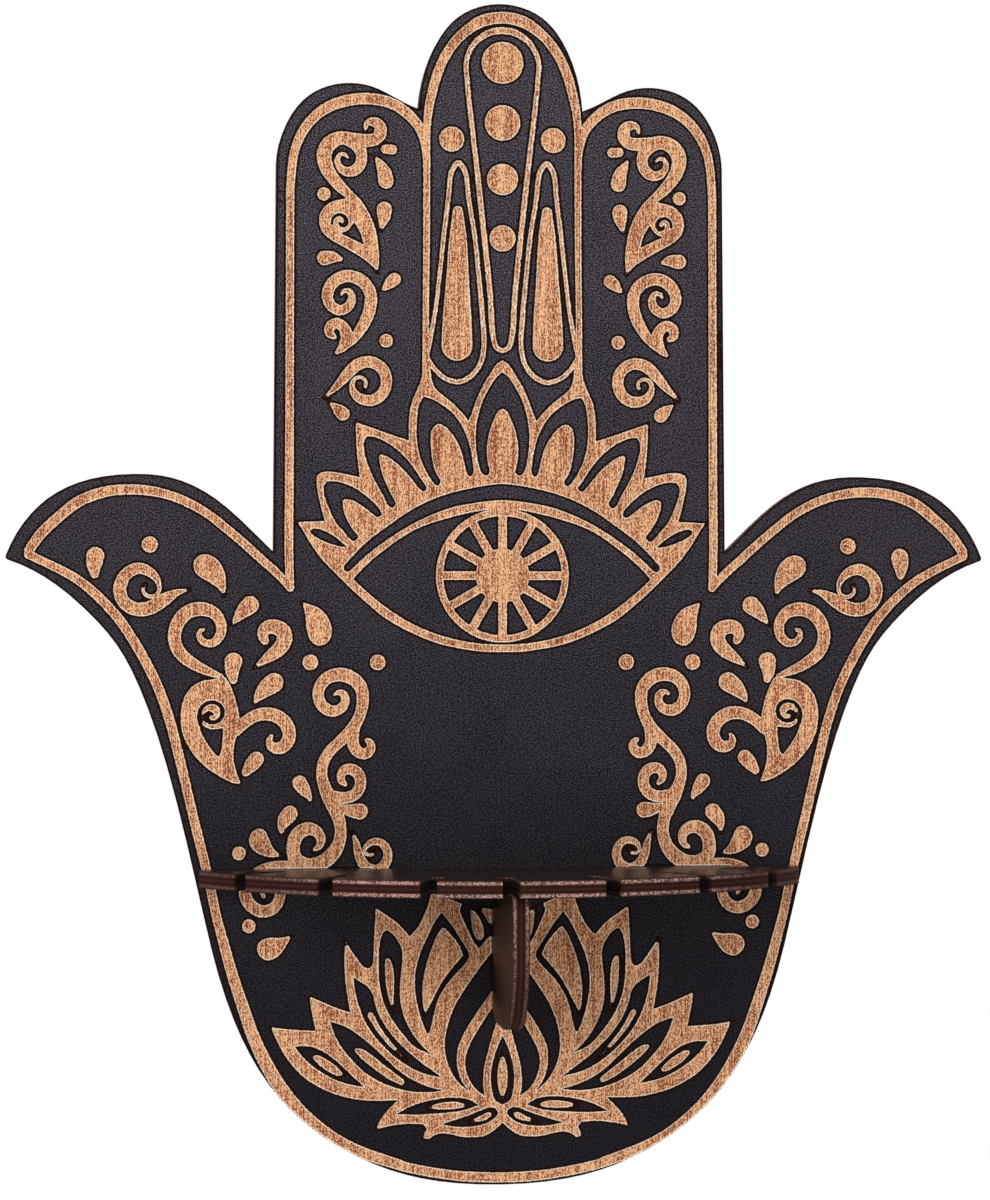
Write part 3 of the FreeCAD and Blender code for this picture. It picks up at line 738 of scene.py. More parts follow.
class Relief:
    """A flat face divided into land and engraved pockets, with each point's distance from a border."""

    # For the rows of points beside the borders, as shares of the row's distance: from one point to the
    # next, the cell that holds one point only, and the nearest that another border may be.
    SPACING, CELL, ROOM = 1.4, 1.3, 0.75
    # A side that starts at a border is long from here on, as a share of the far row's distance.
    LONG = 1.6
    REFINEMENTS = 2

    def __init__(self, loops, layers, near, far):
        self.near, self.far = near, far
        shapes = [shape for _, group in layers for shape in group]
        points, faces, _ = triangulate(*ring_edges([*loops, *shapes]))
        sides = borders(faces, kinds_of(points, faces, loops, layers))
        used = sorted({corner for side in sides for corner in side[:2]})
        number = {corner: i for i, corner in enumerate(used)}
        rims = [(number[a], number[b]) for a, b, _, _ in sides]
        tree = self.sampled(points[used], rims)
        everything = np.vstack([points[used], self.beside(points[used], rims, tree)])
        self.spread(everything, rims, tree)
        for _ in range(self.REFINEMENTS):
            everything = np.vstack([everything, self.between(tree)])
            self.spread(everything, rims, tree)
        self.kinds = kinds_of(self.points, self.faces, loops, layers)
        self.borders = borders(self.faces, self.kinds)

    def spread(self, points, rims, tree):
        """Joins the points to triangles, and measures how far each point is from a rim."""
        self.points, self.faces, _ = triangulate(points, rims)
        distances = [tree.find((*point, 0))[2] for point in self.points.tolist()]
        self.distance = np.minimum(distances, self.far)

    @staticmethod
    def sampled(points, rims):
        """A search tree of points that lie closely along the rims."""
        places = []
        for a, b in rims:
            count = max(1, math.ceil(np.linalg.norm(points[b] - points[a]) / (LINE_STEP / 4)))
            places += [tuple(points[a] + (points[b] - points[a]) * i / count) for i in range(count)]
        tree = KDTree(len(places))
        for i, place in enumerate(places):
            tree.insert((*place, 0), i)
        tree.balance()
        return tree

    def between(self, tree):
        """Points on the long sides that start at a border, so that no scorched line is drawn out."""
        near, far = self.near, self.far
        corners = self.faces[:, [0, 1, 1, 2, 2, 0]].reshape(-1, 2)
        sides = np.unique(np.sort(corners, axis=1), axis=0)
        start, end = np.vstack([sides, sides[:, ::-1]]).T
        run = self.points[end] - self.points[start]
        length = np.linalg.norm(run, axis=1)
        bridging = self.distance[end] < near / 2
        share = np.where(bridging, 0.5, far / np.maximum(length, far))
        long = length > np.where(share == 0.5, near * 2, far * self.LONG)
        long &= self.distance[start] < near / 2
        found = self.points[start[long]] + run[long] * share[long, None]
        taken, kept = set(), []
        for place in found:
            cell = tuple((place / near).round())
            if cell not in taken and tree.find((*place, 0))[2] > near / 2:
                taken.add(cell)
                kept.append(place)
        return np.array(kept).reshape(-1, 2)

    def beside(self, points, rims, tree):
        """Points in two rows on each side of the rims, where there is room for them."""
        taken, kept = set(), []
        for reach in (self.near, self.far):
            for a, b in rims:
                start, run = points[a], points[b] - points[a]
                length = np.linalg.norm(run)
                if length < JOIN_DISTANCE:
                    continue
                count = max(1, round(length / (reach * self.SPACING)))
                normal = np.array([-run[1], run[0]]) / length
                for side in (reach, -reach):
                    for i in range(count):
                        place = start + run * (i + 0.5) / count + normal * side
                        cell = (*(place / (reach * self.CELL)).round(), reach)
                        if cell in taken or tree.find((*place, 0))[2] < self.ROOM * reach:
                            continue
                        taken.add(cell)
                        kept.append(place)
        return np.array(kept).reshape(-1, 2)


# Meshes


def divided(ring, longest):
    """The ring with its long sides split into equal parts."""
    points = []
    for start, end in zip(ring, np.roll(ring, -1, axis=0)):
        count = max(1, math.ceil(np.linalg.norm(end - start) / longest))
        points += [start + (end - start) * i / count for i in range(count)]
    return np.array(points, np.float32).astype(float)


def flat_loops(node, axes, side):
    """The lines round a node's outermost face across the last axis, in millimetres.

    The side is 1 or -1. Seen with the first axis to the right and the second one up, solid is on the
    left of each line."""
    mesh = bmesh.new()
    mesh.from_mesh(bpy.data.objects[node].data)
    bmesh.ops.remove_doubles(mesh, verts=mesh.verts, dist=JOIN_DISTANCE * MM)
    heights = {vert: side * vert.co[axes[2]] for vert in mesh.verts}
    level = max(heights.values())
    top = {vert for vert, height in heights.items() if abs(height - level) < JOIN_DISTANCE * MM}
    flat = [face for face in mesh.faces if top.issuperset(face.verts)]
    inner = set(flat)
    following = {}
    for face in flat:
        for corner in face.loops:
            if not inner.issuperset(corner.edge.link_faces):
                following[corner.vert] = corner.link_loop_next.vert
    loops = []
    while following:
        vert = next(iter(following))
        ring = []
        while vert in following:
            ring.append((vert.co[axes[0]] / MM, vert.co[axes[1]] / MM))
            vert = following.pop(vert)
        loops.append(divided(np.array(ring), LONGEST_SIDE))
    mesh.free()
    return loops, side * level / MM


class Solid:
    """Collects the points and faces of one piece, with a material and a border distance for each."""

    def __init__(self, axes, level, way):
        self.axes, self.level, self.way = axes, level, way
        self.points, self.distances, self.soot, self.faces, self.zones = [], [], [], [], []

    def point(self, place, depth, distance=0.0, soot=0.0):
        spot = [0, 0, 0]
        spot[self.axes[0]], spot[self.axes[1]] = place[0] * MM, place[1] * MM
        spot[self.axes[2]] = (self.level + self.way * depth) * MM
        self.points.append(spot)
        self.distances.append(float(distance))
        self.soot.append(float(soot))
        return len(self.points) - 1

    def face(self, corners, zone):
        self.faces.append(corners)
        self.zones.append(zone)

    def wall(self, upper, lower, zone):
        """Faces all round between two rings of points."""
        for i in range(len(upper)):
            j = (i + 1) % len(upper)
            self.face([lower[i], lower[j], upper[j], upper[i]], zone)

    def lay(self, relief, land_depth, pocket_depth, zones, soot=0.0):
        """Adds a relief with the walls of its pockets, which carry the given painted shade.

        Gives back the number of each corner on land and in pockets."""
        numbers = {}

        def number(corner, kind):
            if (corner, kind) not in numbers:
                place, distance = relief.points[corner], relief.distance[corner]
                depth, shade_here = (pocket_depth, soot) if kind == WOOD else (land_depth(place), 0.0)
                numbers[corner, kind] = self.point(place, depth, distance, shade_here)
            return numbers[corner, kind]

        for face, kind in zip(relief.faces.tolist(), relief.kinds.tolist()):
            if kind != OUTSIDE:
                self.face([number(corner, kind) for corner in face], zones[kind])
        for a, b, _, other in relief.borders:
            if other == PAINT:
                wall = [number(a, PAINT), number(b, PAINT), number(b, WOOD), number(a, WOOD)]
                self.face(wall, zones[WOOD])
        return numbers

    def object(self, name, materials):
        mesh = bpy.data.meshes.new(name)
        mesh.from_pydata(self.points, [], self.faces)
        for material in materials:
            mesh.materials.append(material)
        mesh.polygons.foreach_set("material_index", self.zones)
        for label, values in (("border_distance", self.distances), ("soot", self.soot)):
            mesh.attributes.new(label, "FLOAT", "POINT").data.foreach_set("value", values)
        mesh.shade_smooth()
        mesh.set_sharp_from_angle(angle=SHARP_ANGLE)
        obj = bpy.data.objects.new(name, mesh)
        bpy.context.scene.collection.objects.link(obj)
        return obj


def chained(pairs):
    """The closed rings that directed pairs of numbers make."""
    following = dict(pairs)
    rings = []
    while following:
        number = next(iter(following))
        ring = []
        while number in following:
            ring.append(number)
            number = following.pop(number)
        rings.append(ring)
    return rings


def inward(points):
    """For each point of a ring with solid on its left, the unit direction into the solid."""
    points = np.array(points)
    run = np.roll(points, -1, axis=0) - points
    run /= np.linalg.norm(run, axis=1)[:, None]
    mean = run + np.roll(run, 1, axis=0)
    mean /= np.linalg.norm(mean, axis=1)[:, None]
    return np.stack([-mean[:, 1], mean[:, 0]], 1)


def painted_shade_in_notches(places, reach):
    """Painted shade: from 0 on the widest outline to 1 at reach inside it, where cut edges lie in the
    notches' shade.
    """
    hull = places[convex_hull_2d(places.tolist())]
    start, run = hull, np.roll(hull, -1, axis=0) - hull
    offset = places[:, None] - start
    share = np.clip((offset * run).sum(2) / (run ** 2).sum(1), 0, 1)
    distance = np.linalg.norm(offset - share[:, :, None] * run, axis=2).min(1)
    return np.clip(distance / reach, 0, 1)


FACE_ZONE, POCKET_ZONE, EDGE_ZONE = range(3)

# The first row below the face, as a share of the pockets' depth.
FIRST_ROW = 1.6


def ply_rows(thickness, first):
    """Depth and set-back of each row of points down a cut edge of the sheet."""
    ply = settings().ply
    veneer, glue = ply.veneer / MM, ply.glue / MM
    groove, core = ply.glue_groove / MM, ply.core_groove / MM
    upper = [(first, 0), (veneer, 0), (veneer + glue / 3, groove), (veneer + glue, core)]
    return upper + [(thickness - depth, back) for depth, back in upper[:0:-1]] + [(thickness, 0)]


def make_panel(name, node, axes, side, layers, materials, shade_reach=0):
    """A plywood panel cut along the node's own outline, with the layers' shapes engraved in its face."""
    engraving, ply = settings().engraving, settings().ply
    front, level = flat_loops(node, axes, side)
    back, back_level = flat_loops(node, axes, -side)
    thickness = abs(back_level - level)
    pocket_depth, far = engraving.depth / MM, engraving.rim_far / MM
    relief = Relief(front, layers, engraving.rim_near / MM, far)
    solid = Solid(axes, level, -side)
    zones = {PAINT: FACE_ZONE, WOOD: POCKET_ZONE}
    numbers = solid.lay(relief, lambda place: 0, pocket_depth, zones)
    cut = {a: (b, kind) for a, b, kind, other in relief.borders if other == OUTSIDE}
    rows = ply_rows(thickness, min(pocket_depth * FIRST_ROW, ply.veneer / MM / 2))
    bottom = []
    for ring in chained([(a, b) for a, (b, _) in cut.items()]):
        places, into = relief.points[ring], inward(relief.points[ring])
        # Painted shade on the cut edges inside notches.
        soot = painted_shade_in_notches(places, shade_reach) if shade_reach else np.zeros(len(places))
        columns = [
            [solid.point(place + direction * back_by, depth, far, shade_here) for depth, back_by in rows]
            for place, direction, shade_here in zip(places, into, soot)
        ]
        for i, a in enumerate(ring):
            b, kind = cut[a]
            here, after = columns[i], columns[(i + 1) % len(ring)]
            upper = [numbers[b, kind], numbers[a, kind]]
            if kind == PAINT:
                upper = [numbers.get((b, WOOD)), *upper, numbers.get((a, WOOD))]
            upper = [number for number in upper if number is not None]
            solid.face([here[0], after[0], *upper], EDGE_ZONE)
            for row in range(len(rows) - 1):
                solid.face([here[row + 1], after[row + 1], after[row], here[row]], EDGE_ZONE)
        bottom.append((places, [column[-1] for column in columns]))
    add_back(solid, bottom, back, thickness)
    return solid.object(name, materials)


def add_back(solid, bottom, back, thickness):
    """Closes the panel's back, with the holes that only its back has."""
    pilot_top = thickness - settings().hardware.pilot_depth / MM
    middles = [(places.min(0) + places.max(0)) / 2 for places, _ in bottom]
    for ring in back:
        ring = ring[::-1]
        here = (ring.min(0) + ring.max(0)) / 2
        if any(np.linalg.norm(here - middle) < LINE_STEP for middle in middles):
            continue
        upper = [solid.point(place, pilot_top, 1) for place in ring]
        lower = [solid.point(place, thickness, 1) for place in ring]
        solid.wall(upper, lower, EDGE_ZONE)
        solid.face(upper, EDGE_ZONE)
        bottom.append((ring, lower))
    rings = [places for places, _ in bottom]
    numbers = [number for _, ring in bottom for number in ring]
    points, faces, sources = triangulate(*ring_edges(rings))
    kinds = kinds_of(points, faces, rings, [])
    for face, kind in zip(faces.tolist(), kinds.tolist()):
        if kind == PAINT:
            solid.face([numbers[sources[corner][0]] for corner in face[::-1]], FACE_ZONE)


def as_piece(obj, slot, *nodes):
    """Hides the nodes that the piece dresses, and hangs the piece on the root body. The slot is not
    used.
    """
    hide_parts(*nodes)
    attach(obj, "root")


# Materials


class Number:
    """A value in a material that takes the arithmetic signs, so that its maths reads as a formula."""

    def __init__(self, nodes, socket):
        self.nodes, self.socket = nodes, socket

    def maths(self, operation, *values):
        return self.nodes.node("ShaderNodeMath", {"operation": operation}, dict(enumerate(values)))

    def __add__(self, other):
        return self.maths("ADD", self, other)

    def __sub__(self, other):
        return self.maths("SUBTRACT", self, other)

    def __mul__(self, other):
        return self.maths("MULTIPLY", self, other)

    def __truediv__(self, other):
        return self.maths("DIVIDE", self, other)

    def __rsub__(self, other):
        return self.maths("SUBTRACT", other, self)

    def __rtruediv__(self, other):
        return self.maths("DIVIDE", other, self)

    __radd__ = __add__
    __rmul__ = __mul__

    def at_least(self, other):
        return self.maths("MAXIMUM", self, other)

    def at_most(self, other):
        return self.maths("MINIMUM", self, other)

    def share(self):
        """The value itself, held between 0 and 1."""
        return self.at_least(0).at_most(1)

    def size(self):
        return self.maths("ABSOLUTE", self)

    def step(self, low, high):
        """0 below low, 1 above high and a smooth rise between. A low above high turns it round."""
        if low > high:
            return 1 - self.step(high, low)
        values = {"Value": self, "From Min": low, "From Max": high}
        return self.nodes.node("ShaderNodeMapRange", {"interpolation_type": "SMOOTHSTEP"}, values)


class Nodes:
    """Makes the nodes of one shader tree. Lengths are in millimetres."""

    # The Mix node's sockets for colours, whose names are also those of its other sockets.
    MIX_SHARE, MIX_FIRST, MIX_SECOND, MIX_RESULT = 0, 6, 7, 2

    def __init__(self, tree):
        self.tree = tree

    def feed(self, socket, value):
        if isinstance(value, Number):
            self.tree.links.new(value.socket, socket)
        elif socket.type == "RGBA":
            socket.default_value = (*value, 1)
        else:
            socket.default_value = value

    def node(self, kind, options=None, values=None, output=0):
        """A node of any kind, with its options and its inputs' values or links."""
        node = self.tree.nodes.new(kind)
        for option, value in (options or {}).items():
            setattr(node, option, value)
        for socket, value in (values or {}).items():
            self.feed(node.inputs[socket], value)
        return Number(self, node.outputs[output]) if node.outputs else None

    def mix(self, share, first, second):
        values = {self.MIX_SHARE: share, self.MIX_FIRST: first, self.MIX_SECOND: second}
        return self.node("ShaderNodeMix", {"data_type": "RGBA"}, values, self.MIX_RESULT)

    def place(self):
        return self.node("ShaderNodeTexCoord", output="Object")

    def along(self, axis):
        """The place along one axis, in millimetres."""
        return self.node("ShaderNodeSeparateXYZ", values={0: self.place()}, output=axis) / MM

    def noise(self, spacing, detail=2.0, roughness=0.5, seed=0.0):
        """Soft noise round 0, within 0.5, with features about spacing millimetres apart on each axis."""
        scale = [1 / (MM * length) for length in spacing]
        values = {"Vector": self.place(), "Location": [seed] * 3, "Scale": scale}
        stretched = self.node("ShaderNodeMapping", values=values)
        values = {"Vector": stretched, "Scale": 1.0, "Detail": detail, "Roughness": roughness}
        return self.node("ShaderNodeTexNoise", values=values) - 0.5

    def attribute(self, name):
        return self.node("ShaderNodeAttribute", {"attribute_name": name}, output="Fac")

    def white_when_seen(self, kind, lit):
        """A shader of this kind, white to the eye and in reflections. Other rays meet what is lit."""
        white = self.node(kind, values={"Color": settings().colours.backdrop, "Strength": 1})
        rays = ("Is Camera Ray", "Is Glossy Ray", "Is Transmission Ray")
        seen, glossy, through = (self.node("ShaderNodeLightPath", output=ray) for ray in rays)
        seen = seen.at_least(glossy).at_least(through)
        return self.node("ShaderNodeMixShader", values={0: seen, 1: lit, 2: white})


class Paint(Nodes):
    """One procedural material."""

    def __init__(self, name):
        self.material = bpy.data.materials.new(name)
        self.material.use_nodes = True
        super().__init__(self.material.node_tree)
        self.shader = self.tree.nodes["Principled BSDF"]

    def finish(self, base, roughness, height=None, bump=0.3, distance=0.1, specular=0.5, metallic=0.0):
        values = {"Base Color": base, "Roughness": roughness, "Metallic": metallic}
        values["Specular IOR Level"] = specular
        if height is not None:
            bumps = {"Strength": bump, "Distance": distance * MM, "Height": height}
            values["Normal"] = self.node("ShaderNodeBump", values=bumps)
        for name, value in values.items():
            self.feed(self.shader.inputs[name], value)
        return self.material


def up_the_board(paint):
    """0 at the board's lowest point and 1 at its top, for painted light: the paint's painted sheen and
    the wood's painted shade make both paler towards the top.
    """
    low, high = (corner.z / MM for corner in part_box("back_board"))
    return paint.along(Z).step(low, high)


def paint_material():
    """Matte black paint: fine grains, faint upright grain, a scorched line at the engraving, and a
    painted sheen that makes it paler towards the top.
    """
    colours = settings().colours
    paint = Paint("black_paint")
    grains = paint.noise((0.3, 0.3, 0.34), detail=1, roughness=0.5)
    upright = paint.noise((0.45, 0.45, 6), detail=3, seed=4)
    clouds = paint.noise((14, 14, 22), seed=9)
    # Painted sheen: the lighter speckle's share rises towards the top of the board, as if lit from
    # above.
    speckle_and_painted_sheen = up_the_board(paint) * 0.2 + 0.045
    tone = grains * 15 + upright * 1.2 + clouds * 0.8
    base = paint.mix((speckle_and_painted_sheen * (1 + tone)).share(), colours.paint, colours.paint_light)
    ragged = paint.attribute("border_distance") + grains * 0.35
    base = paint.mix(ragged.step(0.66, 0.42), base, colours.scorch)
    rough = 0.8 + grains * 0.3
    return paint.finish(base, rough, grains + upright, bump=0.5, distance=0.06, specular=0.05)


def engraved_material():
    """Bare veneer under the laser: upright streaks, short dark dashes, a paler rim painted as a
    highlight along the engraved edges, and painted shade that browns it towards the bottom.
    """
    colours = settings().colours
    paint = Paint("engraved_veneer")
    streaks = paint.noise((0.3, 0.3, 13), detail=2, seed=2)
    patches = paint.noise((2.4, 2.4, 26), detail=2, seed=7)
    grains = paint.noise((0.28, 0.28, 0.5), detail=1, roughness=0.5, seed=5)
    dashes = paint.noise((0.3, 0.3, 1.7), detail=1, seed=12).step(0.06, 0.18)
    # Painted shade: the wood is painted browner towards the bottom of the board.
    painted_low_shade = 0.47 - up_the_board(paint) * 0.06
    browned = streaks * 3.0 + patches * 1.5 + grains * 5.0 + painted_low_shade
    base = paint.mix(browned.share(), colours.wood_light, colours.wood_dark)
    base = paint.mix(dashes * 0.55, base, colours.wood_dash)
    ragged = paint.attribute("border_distance") + grains * 0.5
    # A painted highlight: paler wood along the engraved edges.
    rim_highlight = ragged.step(0.06, 0.14) * ragged.step(0.44, 0.3)
    base = paint.mix(rim_highlight * (grains * 7 + 0.95).share(), base, colours.wood_rim_highlight)
    base = paint.mix(ragged.step(0.12, 0.02), base, colours.scorch)
    rough = 0.8 + grains * 0.2
    return paint.finish(base, rough, streaks + grains - dashes, bump=0.5, distance=0.08, specular=0.1)


def ply_edge(name, node, axis, painted_lit_span):
    """Laser-cut ply: two veneers and a core, browned by the beam, with dark glue lines.

    Pale fibres show in the veneers, brighter as a painted highlight where the edge faces the
    front, and beyond that the veneers are darker as painted shade. The lit span is an axis, how
    far out along it the painted highlight ends, and how far out it shows in full. Painted shade
    also darkens the edges inside notches."""
    low, high = (corner[axis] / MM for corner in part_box(node))
    colours, ply = settings().colours, settings().ply
    middle, half = (low + high) / 2, (high - low) / 2
    paint = Paint(name)
    spacing = [0.5, 0.5, 0.5]
    spacing[axis] = 0.25
    fibres = paint.noise(spacing, detail=2, roughness=0.6, seed=3)
    beam = paint.noise([9 if i == axis else 0.6 for i in range(3)], detail=1, seed=8)
    offset = paint.along(axis) - middle
    aside = offset.size()
    depth = half - aside + fibres * 0.25
    veneer, glue = ply.veneer / MM, ply.glue / MM
    # Painted highlight on the fibres where the edge faces the front, and painted shade on the veneers
    # beyond it.
    painted_lit_share = paint.along(painted_lit_span[0]).size().step(*painted_lit_span[1:])
    fleck_highlight = fibres * 7 + beam * 2.4 + 0.5
    fleck_highlight = fleck_highlight * depth.step(0.1, 0.5) * depth.step(veneer - 0.1, veneer - 0.5)
    fleck_highlight = fleck_highlight.share() * (painted_lit_share * 0.8 + 0.2)
    veneers = paint.mix((1 - painted_lit_share) * 0.6, colours.edge_veneer, colours.edge_core)
    layers = paint.mix(fleck_highlight, veneers, colours.edge_fleck_highlight)
    base = paint.mix(depth.step(veneer - glue, veneer + glue), layers, colours.edge_core)
    base = paint.mix(aside.step(0.32, 0.12) * 0.6, base, colours.edge_veneer)
    base = paint.mix((beam + 0.1).at_least(0) * 2 * depth.step(0.4, 0.05), base, colours.edge_glue)
    # Painted shade: cut edges inside notches are darkened towards the glue colour.
    base = paint.mix(paint.attribute("soot") * 0.93, base, colours.edge_glue)
    rough = 0.8 + fibres * 0.4
    return paint.finish(base, rough, fibres + beam, bump=0.5, distance=0.07, specular=0.1)


def satin_face(name, tint, rough, grain_axis):
    """Dark stained faces of the shelf and the bracket, scorched along their edges. The bracket's tint is
    darker than the shelf's, partly as painted shade.
    """
    colours = settings().colours
    paint = Paint(name)
    spacing = [0.7, 0.7, 0.7]
    spacing[grain_axis] = 16
    grain = paint.noise(spacing, detail=3, seed=1)
    grains = paint.noise((0.3, 0.3, 0.3), detail=2, seed=6)
    clouds = paint.noise((12, 12, 12), detail=2, seed=10)
    tone = grain * 1.1 + grains * 0.6 + clouds * 0.8
    base = paint.mix((tone + 0.45).share() * 0.5, tint, colours.scorch)
    base = paint.mix(paint.attribute("border_distance").step(0.6, 0.1) * 0.7, base, colours.edge_glue)
    rough = rough + tone * 0.12
    return paint.finish(base, rough, grain + grains, bump=0.25, distance=0.05, specular=0.2)


def brass_material(name):
    """Dulled brass plating, brushed along x, with painted shade in the screws' slots and under their
    heads.
    """
    brass = settings().colours.brass
    paint = Paint(name)
    brushed = paint.noise((9, 0.4, 0.14), detail=3, seed=2)
    spots = paint.noise((1.6, 1.6, 1.6), detail=3, seed=5)
    tarnish_and_painted_shade = (spots + 0.05).at_least(0) * 1.5 + brushed * 0.5 + paint.attribute("soot") * 0.8
    base = paint.mix(tarnish_and_painted_shade.share(), brass, [share * 0.25 for share in brass])
    rough = 0.32 + brushed * 0.2 + spots.at_least(0) * 0.5
    return paint.finish(base, rough, brushed + spots, bump=0.15, distance=0.03, metallic=1.0)


# Pieces

# Where the painted highlight on pale fibres shows on each panel's cut edge, with painted shade on
# the veneers beyond it: an axis, how far out along it, in millimetres, it ends, and how far out it
# shows in full.
BOARD_PAINTED_GLINT = (X, 400, 300)
SHELF_PAINTED_GLINT = (X, 64, 34)
BRACKET_PAINTED_GLINT = (Z, 200, 152)
SHELF_ROUGHNESS = 0.3
BRACKET_ROUGHNESS = 0.4
# How far into the shelf's notches the painted shade on its cut edge deepens, in millimetres.
SHELF_SHADE_REACH = 0.5


def engraved_layers():
    """The engraving's layers at their places on the board: what the laser bares, and what it leaves."""
    shift = np.array([ENGRAVING_SHIFT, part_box("back_board")[0].z / MM])
    layers = []
    for kind, shapes in LAYERS:
        both = []
        for shape in shapes:
            both.append(shape + shift)
            if abs(shape[:, 0].mean()) > JOIN_DISTANCE:
                both.append(mirrored(shape) + shift)
        layers.append((kind, both))
    return layers


class HANDSHELF_OT_board(bpy.types.Operator):
    """Make the engraved hand-shaped board"""

    bl_idname = "hand_shelf.board"
    bl_label = "Board"

    def execute(self, context):
        edge = ply_edge("board_edge", "back_board", Y, BOARD_PAINTED_GLINT)
        materials = [paint_material(), engraved_material(), edge]
        board = make_panel("hand_board", "back_board", (X, Z, Y), -1, engraved_layers(), materials)
        as_piece(board, "board_ply", "back_board")
        return {"FINISHED"}


class HANDSHELF_OT_shelf(bpy.types.Operator):
    """Make the notched half-moon shelf"""

    bl_idname = "hand_shelf.shelf"
    bl_label = "Shelf"

    def execute(self, context):
        face = satin_face("shelf_face", settings().colours.shelf_face, SHELF_ROUGHNESS, X)
        edge = ply_edge("shelf_edge", "shelf", Z, SHELF_PAINTED_GLINT)
        materials = [face, face, edge]
        shelf = make_panel("half_moon_shelf", "shelf", (X, Y, Z), 1, [], materials, SHELF_SHADE_REACH)
        as_piece(shelf, "shelf_ply", "shelf")
        return {"FINISHED"}


class HANDSHELF_OT_bracket(bpy.types.Operator):
    """Make the bracket under the shelf"""

    bl_idname = "hand_shelf.bracket"
    bl_label = "Bracket"

    def execute(self, context):
        face = satin_face("bracket_face", settings().colours.bracket_face, BRACKET_ROUGHNESS, Z)
        edge = ply_edge("bracket_edge", "bracket", X, BRACKET_PAINTED_GLINT)
        bracket = make_panel("shelf_bracket", "bracket", (Z, Y, X), -1, [], [face, face, edge])
        as_piece(bracket, "bracket_ply", "bracket")
        return {"FINISHED"}


# On the hanger: faces within the first angle are one, edges above the second are softened, and
# shading is smooth across edges up to the third.
HANGER_FLAT_ANGLE = math.radians(1)
HANGER_SHARP_ANGLE = math.radians(40)
HANGER_SMOOTH_ANGLE = math.radians(30)


class HANDSHELF_OT_hanger(bpy.types.Operator):
    """Make the stamped sawtooth hanger with softened edges"""

    bl_idname = "hand_shelf.hanger"
    bl_label = "Hanger"

    def execute(self, context):
        work = bmesh.new()
        work.from_mesh(bpy.data.objects["sawtooth_hanger"].data)
        bmesh.ops.remove_doubles(work, verts=work.verts, dist=JOIN_DISTANCE * MM)
        bmesh.ops.dissolve_limit(
            work, angle_limit=HANGER_FLAT_ANGLE, verts=work.verts, edges=work.edges,
        )
        sharp = [edge for edge in work.edges if edge.calc_face_angle(0) > HANGER_SHARP_ANGLE]
        bmesh.ops.bevel(
            work, geom=sharp, offset=settings().hardware.hanger_bevel, segments=2, profile=0.5,
            affect="EDGES", clamp_overlap=True,
        )
        bmesh.ops.recalc_face_normals(work, faces=work.faces)
        mesh = bpy.data.meshes.new("wall_hanger")
        work.to_mesh(mesh)
        work.free()
        mesh.materials.append(brass_material("hanger_brass"))
        mesh.shade_smooth()
        mesh.set_sharp_from_angle(angle=HANGER_SMOOTH_ANGLE)
        hanger = bpy.data.objects.new("wall_hanger", mesh)
        context.scene.collection.objects.link(hanger)
        as_piece(hanger, "hanger_steel", "sawtooth_hanger")
        return {"FINISHED"}


# Of a screw: the sides of its round head, how far its domed face falls as a share of the head's height,
# the rows of points per turn of its thread, the length of its point as a share of the shank's radius,
# and the turn from one screw to the next.
HEAD_SIDES = 48
DOME_SHARE = 0.7
ROWS_PER_TURN = 6
POINT_SHARE = 0.9
TURN_BETWEEN = 0.6


def cross_shape(reach, half):
    """A cross from its middle to reach, whose arms go half as far to each side."""
    quarter = np.array([(half, half), (half, reach), (-half, reach)])
    turn = np.array([(0, 1), (-1, 0)])
    return np.vstack([quarter @ np.linalg.matrix_power(turn, i) for i in range(4)])


def screw_object(low, high, material):
    """One screw whose head looks along +Y, at x and z 0, with its threaded shank below."""
    sizes = settings().hardware
    radius, height = sizes.head_radius / MM, sizes.head_height / MM
    cross = cross_shape(sizes.cross_length / MM / 2, sizes.cross_width / MM / 2)
    relief = Relief([circle(HEAD_SIDES) * radius], [(WOOD, [cross])], radius / 6, radius / 3)
    solid = Solid((Z, X, Y), high / MM, -1)

    def dome(place):
        return height * DOME_SHARE * (np.linalg.norm(place) / radius) ** 2

    # The cross's slots carry painted shade.
    numbers = solid.lay(relief, dome, sizes.cross_depth / MM, {PAINT: 0, WOOD: 0}, soot=1.0)
    outer = chained([(a, b) for a, b, _, other in relief.borders if other == OUTSIDE])[0]
    directions = relief.points[outer] / radius
    angles = np.arctan2(directions[:, 1], directions[:, 0])
    shank, pitch = sizes.shank_radius / MM, sizes.thread_pitch / MM
    thread, length = sizes.thread_depth / MM, (high - low) / MM
    core = shank - thread

    def ring(reaches, depth, soot=0.0):
        return [solid.point(way * reach, depth, soot=soot) for way, reach in zip(directions, reaches)]

    even = np.ones(len(outer))
    rings = [[numbers[corner, PAINT] for corner in outer]]
    # The ring at the underside of the head carries painted shade.
    rings += [ring(even * radius, height, soot=1.0), ring(even * core, height)]
    for depth in np.arange(height + pitch / 4, length - shank, pitch / ROWS_PER_TURN):
        waves = 0.5 + 0.5 * np.cos(2 * math.pi * depth / pitch - angles)
        rings.append(ring(shank - thread * waves, depth))
    rings.append(ring(even * core, length - shank * POINT_SHARE))
    tip = solid.point((0, 0), length)
    for upper, lower in zip(rings, rings[1:]):
        solid.wall(upper, lower, 0)
    last = rings[-1]
    for i, number in enumerate(last):
        solid.face([tip, last[(i + 1) % len(last)], number], 0)
    return solid.object("screw_pattern", [material])


